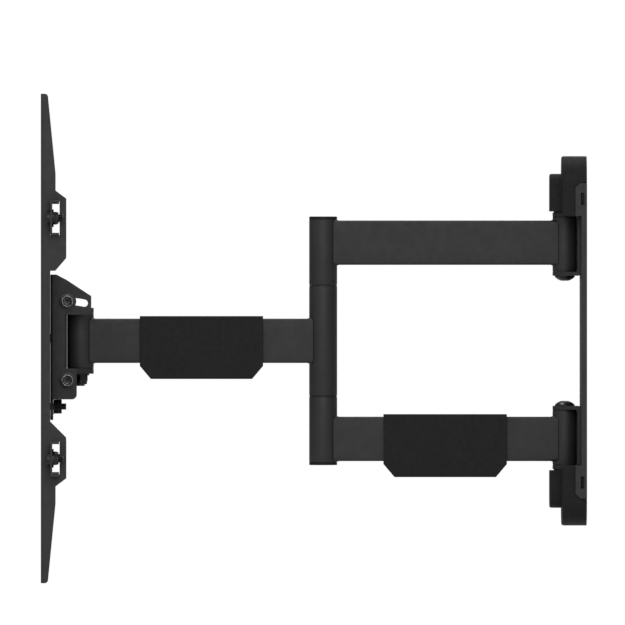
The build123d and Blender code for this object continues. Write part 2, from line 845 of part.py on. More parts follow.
with BuildPart() as tilt_washers:
    for level in tilt_bolt_levels:
        with Locations(
            facing(outer_washer_out, tilt_y, level, to_right),
            facing(-outer_washer_out, tilt_y, level, to_left),
        ):
            add(flat_washer(tilt_washer_diameter, tilt_bolt_diameter, tilt_washer_thickness))
write_piece(tilt_washers, "tilt_washers")

with BuildPart() as tilt_nuts:
    with Locations(*[facing(-tilt_head_out, tilt_y, level, to_left) for level in tilt_bolt_levels]):
        add(lock_nut(tilt_nut_flats, tilt_nut_height, tilt_bolt_diameter))
write_piece(tilt_nuts, "tilt_nuts")

with BuildPart() as tilt_friction_washers:
    for level in tilt_bolt_levels:
        with Locations(
            facing(barrel_half_length, tilt_y, level, to_right),
            facing(-barrel_half_length, tilt_y, level, to_left),
        ):
            add(
                flat_washer(
                    friction_washer_diameter,
                    tilt_bolt_diameter,
                    friction_washer_thickness,
                )
            )
write_piece(tilt_friction_washers, "tilt_friction_washers")

# ---------------------------------------------------------------------------------------------------
# Tilt bracket: two cheeks with a slot for the upper bolt, and a front web with a tab for levelling
# ---------------------------------------------------------------------------------------------------

tilt_slot_width = tilt_bolt_diameter + 2 * slot_gap
tilt_slot_path = CenterArc(
    (tilt_y, -tilt_bolt_level),
    tilt_slot_radius,
    90 - tilt_forward - tilt_margin,
    tilt_forward + tilt_back + 2 * tilt_margin,
)
level_slot_path = CenterArc(
    (0, head_level),
    level_slot_radius,
    270 - level_swing - level_margin,
    2 * (level_swing + level_margin),
)
level_slot_width = level_lock_diameter + 2 * slot_gap

with BuildPart() as tilt_bracket:
    with BuildSketch(Plane.YZ.offset(-bracket_half_width)):
        with BuildLine():
            Polyline(
                (bracket_front, bracket_bottom),
                (bracket_front, bracket_top),
                (bracket_front + bracket_flat, bracket_top),
                (bracket_front + bracket_shoulder_out, bracket_shoulder_level),
                (bracket_front + bracket_edge_out, bracket_edge_level),
                (bracket_front + bracket_edge_out, window_top),
                (bracket_front + window_out, window_top),
                (bracket_front + window_out, window_bottom),
                (bracket_front + bracket_lower_out, window_bottom),
                (bracket_front + bracket_lower_out, bracket_bottom),
                close=True,
            )
        make_face()
        lower_corner = (bracket_front + bracket_lower_out, bracket_bottom)
        fillet(vertices().sort_by_distance(lower_corner)[0], bracket_corner)
    extrude(amount=2 * bracket_half_width)
    fillet(edges().filter_by(Axis.Z).sort_by(Axis.Y)[:2], bracket_thickness)
    with BuildSketch(Plane.XZ.offset(-bracket_rear)):
        with Locations((0, bracket_bottom - cut_margin)):
            Rectangle(
                2 * (bracket_half_width - bracket_thickness),
                bracket_top - bracket_bottom + 2 * cut_margin,
                align=(Align.CENTER, Align.MIN),
            )
    extrude(amount=-bracket_edge_out, mode=Mode.SUBTRACT)
    with BuildSketch(Plane.YZ.offset(-bracket_half_width)):
        SlotArc(tilt_slot_path, tilt_slot_width)
        with Locations((tilt_y, -tilt_bolt_level)):
            Circle(tilt_bolt_diameter / 2 + running_gap)
    extrude(amount=2 * bracket_half_width, mode=Mode.SUBTRACT)
    with BuildSketch(Plane.XZ.offset(-bracket_rear)):
        with Locations((0, tab_bottom)):
            Rectangle(
                2 * tab_half_width,
                bracket_bottom - tab_bottom + bracket_thickness,
                align=(Align.CENTER, Align.MIN),
            )
        fillet(vertices().group_by(Axis.Y)[0], bracket_corner)
    extrude(amount=bracket_thickness)
    with BuildSketch(Plane.XZ.offset(-bracket_rear)):
        SlotArc(level_slot_path, level_slot_width)
        with Locations((0, head_level)):
            Circle(level_bolt_diameter / 2 + running_gap)
    extrude(amount=bracket_thickness, mode=Mode.SUBTRACT)
write_piece(tilt_bracket, "tilt_bracket")

# ---------------------------------------------------------------------------------------------------
# Screen plate, its crossbars and the level adjustment
# ---------------------------------------------------------------------------------------------------

upper_bar_level = head_level + bar_spread
bar_bolt_places = [
    (side * bar_bolt_spread, head_level + end * bar_spread) for side in (-1, 1) for end in (-1, 1)
]
stop_places = [(side * stop_spread, head_level + end * bar_spread) for side in (-1, 1) for end in (-1, 1)]

with BuildPart() as screen_plate:
    with BuildSketch(Plane.XZ.offset(-screen_plate_rear)):
        with Locations((0, head_level)):
            Rectangle(2 * screen_plate_half_width, 2 * bar_spread + bar_height)
        fillet(vertices(), screen_plate_corner)
        with Locations((0, head_level)):
            for pitch in small_pitches:
                with GridLocations(pitch, pitch, 2, 2):
                    Circle(small_hole_diameter / 2, mode=Mode.SUBTRACT)
            Circle(level_bolt_diameter / 2 + fit_gap, mode=Mode.SUBTRACT)
        with Locations((0, level_lock_level)):
            Circle(level_lock_diameter / 2 + fit_gap, mode=Mode.SUBTRACT)
        with Locations(*bar_bolt_places):
            Circle(bar_bolt_diameter / 2 + fit_gap, mode=Mode.SUBTRACT)
    extrude(amount=screen_plate_thickness)
write_piece(screen_plate, "screen_plate")

with BuildPart() as upper_crossbar:
    with BuildSketch(Plane.YZ.offset(-bar_half_length)):
        with Locations((screen_plate_rear, upper_bar_level)):
            Rectangle(bar_depth, bar_height, align=(Align.MIN, Align.CENTER))
        fillet(vertices().group_by(Axis.X)[0], bar_thickness)
        with Locations((bar_web_rear, upper_bar_level)):
            Rectangle(
                bar_depth,
                bar_height - 2 * bar_thickness,
                align=(Align.MIN, Align.CENTER),
                mode=Mode.SUBTRACT,
            )
    extrude(amount=2 * bar_half_length)
    with BuildSketch(Plane.XZ.offset(-bar_web_rear)):
        with Locations((-bar_bolt_spread, upper_bar_level), (bar_bolt_spread, upper_bar_level)):
            Circle(bar_bolt_diameter / 2 + fit_gap)
        with Locations((-stop_spread, upper_bar_level), (stop_spread, upper_bar_level)):
            Circle(stop_screw_diameter / 2 + fit_gap)
    extrude(amount=bar_thickness, mode=Mode.SUBTRACT)
write_piece(upper_crossbar, "upper_crossbar")

with BuildPart() as lower_crossbar:
    mirror(upper_crossbar.part, about=Plane.XY.offset(head_level))
write_piece(lower_crossbar, "lower_crossbar")

screen_plate_front = screen_plate_rear - screen_plate_thickness

with BuildPart() as crossbar_bolts:
    with Locations(*[facing(x, screen_plate_front, z, to_screen) for x, z in bar_bolt_places]):
        add(
            dome_bolt(
                bar_bolt_head_diameter,
                bar_bolt_head_height,
                bar_bolt_diameter,
                screen_plate_thickness + bar_thickness + bar_nut_height,
            )
        )
write_piece(crossbar_bolts, "crossbar_bolts")

with BuildPart() as crossbar_nuts:
    with Locations(*[facing(x, bar_web_rear, z, to_wall) for x, z in bar_bolt_places]):
        add(lock_nut(bar_nut_flats, bar_nut_height, bar_bolt_diameter))
write_piece(crossbar_nuts, "crossbar_nuts")

with BuildPart() as stop_screws:
    with Locations(*[facing(x, screen_plate_rear, z, to_screen) for x, z in stop_places]):
        add(
            cap_bolt(
                stop_head_diameter,
                stop_head_height,
                stop_screw_diameter,
                bar_thickness + stop_washer_thickness + stop_nut_height + stop_thread_end,
                stop_socket,
            )
        )
write_piece(stop_screws, "stop_screws")

with BuildPart() as stop_washers:
    with Locations(*[facing(x, bar_web_rear, z, to_wall) for x, z in stop_places]):
        add(flat_washer(stop_washer_diameter, stop_screw_diameter, stop_washer_thickness))
write_piece(stop_washers, "stop_washers")

with BuildPart() as stop_nuts:
    with Locations(*[facing(x, bar_web_rear + stop_washer_thickness, z, to_wall) for x, z in stop_places]):
        add(lock_nut(stop_nut_flats, stop_nut_height, stop_screw_diameter))
write_piece(stop_nuts, "stop_nuts")

level_washer_front = bracket_rear + running_gap

with BuildPart() as level_pivot_bolt:
    with Locations(facing(0, screen_plate_front, head_level, to_screen)):
        add(
            dome_bolt(
                level_bolt_head_diameter,
                level_bolt_head_height,
                level_bolt_diameter,
                level_washer_front
                - screen_plate_front
                + level_washer_thickness
                + level_nut_height
                + level_bolt_end,
            )
        )
write_piece(level_pivot_bolt, "level_pivot_bolt")

with BuildPart() as level_pivot_washer:
    with Locations(facing(0, level_washer_front, head_level, to_wall)):
        add(flat_washer(level_washer_diameter, level_bolt_diameter, level_washer_thickness))
write_piece(level_pivot_washer, "level_pivot_washer")

with BuildPart() as level_pivot_nut:
    with Locations(facing(0, level_washer_front + level_washer_thickness, head_level, to_wall)):
        add(lock_nut(level_nut_flats, level_nut_height, level_bolt_diameter))
write_piece(level_pivot_nut, "level_pivot_nut")

with BuildPart() as level_lock_bolt:
    with Locations(facing(0, screen_plate_front, level_lock_level, to_screen)):
        add(
            dome_bolt(
                level_bolt_head_diameter,
                level_bolt_head_height,
                level_lock_diameter,
                level_washer_front
                - screen_plate_front
                + lock_washer_thickness
                + lock_knob_length
                + lock_thread_end,
            )
        )
write_piece(level_lock_bolt, "level_lock_bolt")

with BuildPart() as level_lock_washer:
    with Locations(facing(0, level_washer_front, level_lock_level, to_wall)):
        add(flat_washer(lock_washer_diameter, level_lock_diameter, lock_washer_thickness))
write_piece(level_lock_washer, "level_lock_washer")

with BuildPart() as level_lock_knob:
    with BuildSketch(Plane.XZ.offset(-level_washer_front - lock_washer_thickness)):
        with Locations((0, level_lock_level)):
            Circle(lock_knob_diameter / 2)
            with PolarLocations(lock_knob_diameter / 2 + knob_flute_radius / 2, knob_flute_count):
                Circle(knob_flute_radius, mode=Mode.SUBTRACT)
            Circle(level_lock_diameter / 2 + fit_gap, mode=Mode.SUBTRACT)
    extrude(amount=-lock_knob_length)
write_piece(level_lock_knob, "level_lock_knob")

# ---------------------------------------------------------------------------------------------------
# Upright rails
# ---------------------------------------------------------------------------------------------------

window_height = bar_height + 2 * sliding_gap
window_near = screen_plate_rear - sliding_gap / 2
window_far = screen_plate_rear + bar_depth + sliding_gap

with BuildPart() as right_tv_rail:
    with BuildSketch(Plane.YZ.offset(rail_spread - rail_half_width)):
        with BuildLine():
            Polyline(
                (screen_y, head_level - rail_half_height),
                (screen_y, head_level + rail_half_height),
                (screen_y + rail_tip_depth, head_level + rail_half_height),
                (screen_y + rail_mid_depth, head_level + rail_taper_end),
                (screen_y + rail_mid_depth, head_level + rail_step_outer),
                (screen_y + rail_full_depth, head_level + rail_step_inner),
                (screen_y + rail_full_depth, head_level + upper_bulge_inner),
                (screen_y + upper_foot_depth, head_level + upper_bulge_foot),
                (screen_y + rail_neck_depth, head_level + upper_bulge_foot),
                (screen_y + rail_neck_depth, head_level + lower_bulge_foot),
                (screen_y + rail_full_depth, head_level + lower_bulge_inner),
                (screen_y + rail_full_depth, head_level - rail_step_inner),
                (screen_y + rail_mid_depth, head_level - rail_step_outer),
                (screen_y + rail_mid_depth, head_level - rail_taper_end),
                (screen_y + rail_tip_depth, head_level - rail_half_height),
                close=True,
            )
        make_face()
        fillet(vertices().group_by(Axis.Y)[0].sort_by(Axis.X)[-1], rail_tip_radius)
        fillet(vertices().group_by(Axis.Y)[-1].sort_by(Axis.X)[-1], rail_tip_radius)
    extrude(amount=2 * rail_half_width)
    fillet(edges().filter_by(Axis.Z).group_by(Axis.Y)[0], rail_thickness)
    with BuildSketch(Plane.XZ.offset(-screen_y - rail_thickness)):
        with Locations((rail_spread, head_level)):
            Rectangle(2 * (rail_half_width - rail_thickness), 2 * (rail_half_height + cut_margin))
    extrude(amount=-rail_full_depth, mode=Mode.SUBTRACT)
    with BuildSketch(Plane.YZ.offset(rail_spread - rail_half_width)):
        with Locations(
            ((window_near + window_far) / 2, head_level - bar_spread),
            ((window_near + window_far) / 2, head_level + bar_spread),
        ):
            Rectangle(window_far - window_near, window_height)
    extrude(amount=2 * rail_half_width, mode=Mode.SUBTRACT)
    with BuildSketch(Plane.XZ.offset(-screen_y - rail_thickness)):
        for pitch in rail_pitches:
            with Locations((rail_spread, head_level - pitch / 2), (rail_spread, head_level + pitch / 2)):
                Circle(rail_hole_diameter / 2)
        for slot_level in rail_slot_levels:
            with Locations((rail_spread, head_level + slot_level)):
                SlotOverall(rail_slot_length, rail_hole_diameter, rotation=90)
    extrude(amount=rail_thickness, mode=Mode.SUBTRACT)
write_piece(right_tv_rail, "right_tv_rail")

with BuildPart() as left_tv_rail:
    mirror(right_tv_rail.part, about=Plane.YZ)
write_piece(left_tv_rail, "left_tv_rail")
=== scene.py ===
import logging
import math
from collections.abc import Callable, Iterable, Sequence
from dataclasses import dataclass, field
from enum import Enum

import bmesh
import bpy
from mathutils import Matrix, Vector


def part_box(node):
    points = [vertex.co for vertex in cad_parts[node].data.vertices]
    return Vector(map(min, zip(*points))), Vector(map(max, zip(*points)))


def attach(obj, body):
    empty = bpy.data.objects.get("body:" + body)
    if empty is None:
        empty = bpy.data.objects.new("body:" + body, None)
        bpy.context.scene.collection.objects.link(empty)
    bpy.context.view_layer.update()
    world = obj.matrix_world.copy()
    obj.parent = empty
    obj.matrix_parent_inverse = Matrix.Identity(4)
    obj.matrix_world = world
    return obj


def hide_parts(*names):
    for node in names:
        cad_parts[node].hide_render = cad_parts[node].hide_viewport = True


# A full-motion wall mount for a flat screen: pressed steel, box tube, moulded covers and fasteners.
# Sizes are in metres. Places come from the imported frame; +Z is up, +Y points into the wall and the arms reach
# out along -Y.

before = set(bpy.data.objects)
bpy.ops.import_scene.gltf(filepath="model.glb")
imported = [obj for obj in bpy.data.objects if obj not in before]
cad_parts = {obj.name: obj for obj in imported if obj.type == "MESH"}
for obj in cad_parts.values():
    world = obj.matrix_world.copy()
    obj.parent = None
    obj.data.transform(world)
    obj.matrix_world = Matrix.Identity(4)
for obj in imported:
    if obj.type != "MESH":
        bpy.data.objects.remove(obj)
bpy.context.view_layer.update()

LOG = logging.getLogger("wall_mount")
MM = 0.001
THREAD_DEPTH = 0.45
SMOOTH_STEPS = 72

Ring = Callable[[float], tuple[float, float]]
Colour = tuple[float, float, float]
Socket = bpy.types.NodeSocket


# ----------------------------------------------------------------------------------------------------
# Named options
# ----------------------------------------------------------------------------------------------------


class Axis(Enum):
    """Directions that a turned piece can stand in, as unit vectors."""

    RIGHT = (1.0, 0.0, 0.0)
    LEFT = (-1.0, 0.0, 0.0)
    TO_WALL = (0.0, 1.0, 0.0)
    TO_SCREEN = (0.0, -1.0, 0.0)
    UP = (0.0, 0.0, 1.0)
    DOWN = (0.0, 0.0, -1.0)


class Head(Enum):
    """Shapes of a bolt's head."""

    DOME = "dome"
    CAP = "cap"
    COUNTERSUNK = "countersunk"


class Slot(Enum):
    """Material slots of the record."""

    POWDER_COAT = "powder_coat"
    COVER_PLASTIC = "cover_plastic"
    BLACK_STEEL = "black_steel"
    BRIGHT_STEEL = "bright_steel"
    NYLON = "nylon"


# ----------------------------------------------------------------------------------------------------
# Finishes
# ----------------------------------------------------------------------------------------------------


class ShaderGraph:
    """A short way to write a material's nodes.

    Attributes:
        SAMPLES: Rays of the nodes that look at the shape round a point.
        BENT: How well the rounded normal agrees with the true one on an edge that is worn and painted as a
            highlight, and off it.
        PATCHY: Range of the noise over which the worn edge and its painted highlight grow.
        LEAST_PATCH: Share of the worn edge and painted highlight that is left between its patches.
        RECESS: How near a wall keeps the worn edge and painted highlight off a point.
        OPEN: How open a point is where the paler edge starts to show, and where it shows fully.
    """

    SAMPLES = 4
    BENT = (0.80, 0.985)
    PATCHY = (0.35, 0.6)
    LEAST_PATCH = 0.25
    RECESS = 4 * MM
    OPEN = (0.62, 0.9)

    def __init__(self, name: str) -> None:
        """Starts an empty material with a Principled shader.

        Args:
            name: The material's name.
        """
        self.material = bpy.data.materials.new(name)
        self.material.use_nodes = True
        self.tree = self.material.node_tree
        self.shader = next(n for n in self.tree.nodes if n.type == "BSDF_PRINCIPLED")
        self.place = self.add("ShaderNodeTexCoord").outputs["Object"]

    def add(self, kind: str, **values: object) -> bpy.types.Node:
        """Adds a node and sets its properties.

        Args:
            kind: The node's type name.
            values: Properties to set on the node.

        Returns:
            The new node.
        """
        node = self.tree.nodes.new(kind)
        for name, value in values.items():
            setattr(node, name, value)
        return node

    def join(self, source: Socket, target: Socket) -> None:
        """Links two sockets."""
        self.tree.links.new(source, target)

    def noise(self, scale: float, detail: float = 2.0, stretch: Sequence[float] = (1, 1, 1)) -> Socket:
        """Adds a noise pattern on the object's own coordinates.

        Args:
            scale: Features to a metre.
            detail: Octaves of finer noise.
            stretch: Scale along each axis.

        Returns:
            The socket of the noise's value.
        """
        mapping = self.add("ShaderNodeMapping")
        mapping.inputs["Scale"].default_value = stretch
        self.join(self.place, mapping.inputs["Vector"])
        node = self.add("ShaderNodeTexNoise")
        node.inputs["Scale"].default_value = scale
        node.inputs["Detail"].default_value = detail
        self.join(mapping.outputs["Vector"], node.inputs["Vector"])
        return node.outputs["Fac"]

    def spread(
        self, source: Socket, low: float, high: float, start: float = 0.3, end: float = 0.7
    ) -> Socket:
        """Maps a value from one range to another.

        Args:
            source: The value to map.
            low: Result at the start of the source's range.
            high: Result at its end.
            start: Where the source's range starts.
            end: Where it ends.

        Returns:
            The socket of the mapped value.
        """
        node = self.add("ShaderNodeMapRange")
        node.inputs["From Min"].default_value = start
        node.inputs["From Max"].default_value = end
        node.inputs["To Min"].default_value = low
        node.inputs["To Max"].default_value = high
        self.join(source, node.inputs["Value"])
        return node.outputs["Result"]

    def blend(self, share: Socket, first: object, second: object) -> Socket:
        """Mixes two colours.

        Args:
            share: How much of the second colour shows.
            first: A colour or a socket.
            second: A colour or a socket.

        Returns:
            The socket of the mixed colour.
        """
        node = self.add("ShaderNodeMix", data_type="RGBA")
        self.join(share, node.inputs["Factor"])
        for value, socket in ((first, node.inputs["A"]), (second, node.inputs["B"])):
            colour_socket = next(s for s in node.inputs if s.name == socket.name and s.type == "RGBA")
            if isinstance(value, Socket):
                self.join(value, colour_socket)
            else:
                colour_socket.default_value = (*value, 1.0)
        return next(s for s in node.outputs if s.type == "RGBA")

    def edge(self, radius: float, breakup: Socket) -> Socket:
        """Finds the edges that are painted paler, as worn paint and as a painted highlight: where a rounded
        normal leaves the true one, in patches, outside recesses.

        Args:
            radius: How far from an edge the worn and highlighted band reaches.
            breakup: A pattern that makes the worn and highlighted band uneven.

        Returns:
            The socket of the worn-edge and painted-highlight mask, from 0 to 1.
        """
        # The paler edge colour stands for worn paint and also for a painted highlight along the edges.
        rounded = self.add("ShaderNodeBevel", samples=self.SAMPLES)
        rounded.inputs["Radius"].default_value = radius
        true = self.add("ShaderNodeNewGeometry")
        turn = self.add("ShaderNodeVectorMath", operation="DOT_PRODUCT")
        self.join(rounded.outputs["Normal"], turn.inputs[0])
        self.join(true.outputs["Normal"], turn.inputs[1])
        mask = self.spread(turn.outputs["Value"], 1.0, 0.0, *self.BENT)
        uneven = self.product(mask, self.spread(breakup, self.LEAST_PATCH, 1.0, *self.PATCHY))
        shelter = self.add("ShaderNodeAmbientOcclusion", samples=self.SAMPLES, only_local=True)
        shelter.inputs["Distance"].default_value = self.RECESS
        return self.product(uneven, self.spread(shelter.outputs["AO"], 0.0, 1.0, *self.OPEN))

    def product(self, first: Socket, second: Socket) -> Socket:
        """Multiplies two values.

        Args:
            first: One value.
            second: The other value.

        Returns:
            The socket of their product.
        """
        node = self.add("ShaderNodeMath", operation="MULTIPLY")
        self.join(first, node.inputs[0])
        self.join(second, node.inputs[1])
        return node.outputs["Value"]

    def clouded(self, scale: float, detail: float, dark: Colour, pale: Colour) -> Socket:
        """Returns the socket of a colour that drifts between two tones.

        Args:
            scale: Clouds to a metre.
            detail: Octaves of finer noise.
            dark: The darker tone.
            pale: The paler tone.

        Returns:
            The socket of the colour.
        """
        return self.blend(self.spread(self.noise(scale, detail), 0.0, 1.0), dark, pale)

    def bump(
        self, height: Socket, distance: float, strength: float = 1.0, under: Socket | None = None
    ) -> Socket:
        """Adds a bump.

        Args:
            height: The pattern that makes the relief.
            distance: Height of the relief.
            strength: Share of it that shows.
            under: A normal that the relief lies on.

        Returns:
            The socket of the bumped normal.
        """
        node = self.add("ShaderNodeBump")
        node.inputs["Distance"].default_value = distance
        node.inputs["Strength"].default_value = strength
        self.join(height, node.inputs["Height"])
        if under is not None:
            self.join(under, node.inputs["Normal"])
        return node.outputs["Normal"]

    def finish(
        self, colour: Socket, roughness: Socket, normal: Socket, **constants: float
    ) -> bpy.types.Material:
        """Joins the patterns to the shader and sets its constant values.

        Args:
            colour: The base colour.
            roughness: The roughness.
            normal: The bumped normal.
            constants: Values for other inputs, named with underscores for spaces.

        Returns:
            The finished material.
        """
        self.join(colour, self.shader.inputs["Base Color"])
        self.join(roughness, self.shader.inputs["Roughness"])
        self.join(normal, self.shader.inputs["Normal"])
        for name, value in constants.items():
            self.shader.inputs[name.replace("_", " ")].default_value = value
        return self.material


@dataclass(frozen=True)
class PowderCoat:
    """Black powder coat on steel: a fine orange peel, and edges painted a little paler, as worn paint and as a
    painted highlight.
    """

    name: str = "black_powder_coat"
    dark: Colour = (0.0195, 0.0195, 0.0200)
    pale: Colour = (0.0245, 0.0245, 0.0250)
    # Paler colour of the edges: worn paint, and a painted highlight along them.
    rubbed_highlight: Colour = (0.050, 0.050, 0.051)
    cloud_scale: float = 38.0
    wear_highlight_scale: float = 420.0
    wear_highlight_radius: float = 0.5 * MM
    wear_highlight_share: float = 0.75
    sheen_scale: float = 160.0
    roughness: tuple[float, float] = (0.47, 0.60)
    peel_scale: float = 1100.0
    peel_height: float = 0.035 * MM
    grain_scale: float = 5200.0
    grain_height: float = 0.008 * MM
    gloss: float = 0.36

    def make(self) -> bpy.types.Material:
        """Returns the material."""
        graph = ShaderGraph(self.name)
        base = graph.clouded(self.cloud_scale, 5.0, self.dark, self.pale)
        wear_highlight = graph.edge(self.wear_highlight_radius, graph.noise(self.wear_highlight_scale, 4.0))
        # Edges take the paler colour: worn paint and a painted highlight.
        colour = graph.blend(graph.spread(wear_highlight, 0.0, self.wear_highlight_share, 0.0, 1.0), base, self.rubbed_highlight)
        roughness = graph.spread(graph.noise(self.sheen_scale, 4.0), *self.roughness)
        peel = graph.bump(graph.noise(self.peel_scale, 1.5), self.peel_height, 0.5)
        grain = graph.bump(graph.noise(self.grain_scale, 1.0), self.grain_height, 0.5, peel)
        return graph.finish(colour, roughness, grain, Specular_IOR_Level=self.gloss)


@dataclass(frozen=True)
class MouldedPlastic:
    """Matt black moulded plastic with a spark-eroded texture, and edges painted a little paler as wear and as a
    painted highlight.
    """

    name: str = "black_moulded_plastic"
    dark: Colour = (0.0068, 0.0068, 0.0070)
    pale: Colour = (0.0088, 0.0088, 0.0090)
    # Paler colour of the edges: worn plastic, and a painted highlight along them.
    rubbed_highlight: Colour = (0.022, 0.022, 0.0225)
    cloud_scale: float = 55.0
    wear_highlight_scale: float = 300.0
    wear_highlight_radius: float = 0.6 * MM
    wear_highlight_share: float = 0.5
    sheen_scale: float = 240.0
    roughness: tuple[float, float] = (0.55, 0.68)
    pit_scale: float = 2300.0
    pit_depth: float = 0.03 * MM
    grain_scale: float = 6500.0
    grain_height: float = 0.01 * MM
    gloss: float = 0.22

    def make(self) -> bpy.types.Material:
        """Returns the material."""
        graph = ShaderGraph(self.name)
        base = graph.clouded(self.cloud_scale, 4.0, self.dark, self.pale)
        wear_highlight = graph.edge(self.wear_highlight_radius, graph.noise(self.wear_highlight_scale, 3.0))
        # Edges take the paler colour: wear and a painted highlight.
        colour = graph.blend(graph.spread(wear_highlight, 0.0, self.wear_highlight_share, 0.0, 1.0), base, self.rubbed_highlight)
        pits = graph.add("ShaderNodeTexVoronoi")
        pits.inputs["Scale"].default_value = self.pit_scale
        graph.join(graph.place, pits.inputs["Vector"])
        roughness = graph.spread(graph.noise(self.sheen_scale, 3.0), *self.roughness)
        coarse = graph.bump(pits.outputs["Distance"], self.pit_depth, 0.5)
        fine = graph.bump(graph.noise(self.grain_scale, 1.0), self.grain_height, 0.4, coarse)
        return graph.finish(colour, roughness, fine, Specular_IOR_Level=self.gloss)


@dataclass(frozen=True)
class Steel:
    """Plated or oxidised steel of a fastener, with paler edges that are partly worn plating and partly a
    painted highlight.
    """

    name: str
    dark: Colour
    pale: Colour
    # Paler colour of the edges: worn plating, and a painted highlight along them.
    rubbed_highlight: Colour
    roughness: tuple[float, float]
    cloud_scale: float = 260.0
    wear_highlight_scale: float = 900.0
    wear_highlight_radius: float = 0.45 * MM
    wear_highlight_share: float = 0.8
    sheen_scale: float = 700.0
    mark_scale: float = 3000.0
    mark_stretch: tuple[float, float, float] = (1.0, 0.25, 1.0)
    mark_depth: float = 0.012 * MM

    def make(self) -> bpy.types.Material:
        """Returns the material."""
        graph = ShaderGraph(self.name)
        base = graph.clouded(self.cloud_scale, 5.0, self.dark, self.pale)
        wear_highlight = graph.edge(self.wear_highlight_radius, graph.noise(self.wear_highlight_scale, 3.0))
        # Edges take the paler colour: wear and a painted highlight.
        colour = graph.blend(graph.spread(wear_highlight, 0.0, self.wear_highlight_share, 0.0, 1.0), base, self.rubbed_highlight)
        roughness = graph.spread(graph.noise(self.sheen_scale, 4.0), *self.roughness)
        marks = graph.bump(graph.noise(self.mark_scale, 3.0, self.mark_stretch), self.mark_depth, 0.5)
        return graph.finish(colour, roughness, marks, Metallic=1.0)


@dataclass(frozen=True)
class Nylon:
    """Black nylon of bushes and friction washers, with a soft sheen."""

    name: str = "black_nylon"
    dark: Colour = (0.010, 0.010, 0.0102)
    pale: Colour = (0.015, 0.015, 0.0155)
    cloud_scale: float = 150.0
    sheen_scale: float = 500.0
    roughness: tuple[float, float] = (0.38, 0.5)
    swirl_scale: float = 1800.0
    swirl_height: float = 0.01 * MM
    gloss: float = 0.35

    def make(self) -> bpy.types.Material:
        """Returns the material."""
        graph = ShaderGraph(self.name)
        base = graph.clouded(self.cloud_scale, 3.0, self.dark, self.pale)
        roughness = graph.spread(graph.noise(self.sheen_scale, 3.0), *self.roughness)
        swirl = graph.bump(graph.noise(self.swirl_scale, 2.0), self.swirl_height, 0.5)
        return graph.finish(base, roughness, swirl, Specular_IOR_Level=self.gloss)


FINISHES: dict[Slot, PowderCoat | MouldedPlastic | Steel | Nylon] = {
    Slot.POWDER_COAT: PowderCoat(),
    Slot.COVER_PLASTIC: MouldedPlastic(),
    Slot.BLACK_STEEL: Steel(
        name="black_zinc",
        dark=(0.028, 0.028, 0.029),
        pale=(0.050, 0.050, 0.051),
        # Pale edge colour: worn plating, and a painted highlight along the edges.
        rubbed_highlight=(0.20, 0.20, 0.20),
        roughness=(0.28, 0.42),
    ),
    Slot.BRIGHT_STEEL: Steel(
        name="black_oxide_wear_highlight",
        dark=(0.016, 0.016, 0.017),
        pale=(0.030, 0.030, 0.031),
        # Near-white edge colour: mostly a painted highlight on the bolt rims, partly bare steel where the oxide
        # is worn.
        rubbed_highlight=(0.85, 0.85, 0.85),
        roughness=(0.22, 0.34),
        wear_highlight_radius=0.9 * MM,
        wear_highlight_share=1.0,
    ),
    Slot.NYLON: Nylon(),
}


class Palette:
    """Every material, made once and found by its slot."""

    def __init__(self) -> None:
        """Makes each finish."""
        self.materials = {slot: finish.make() for slot, finish in FINISHES.items()}

    def dress(self, piece: bpy.types.Object, slot: Slot) -> None:
        """Gives a piece one material.

        Args:
            piece: The piece to dress.
            slot: The slot of its finish.
        """
        piece.data.materials.clear()
        piece.data.materials.append(self.materials[slot])


# ----------------------------------------------------------------------------------------------------
# Studio
# ----------------------------------------------------------------------------------------------------


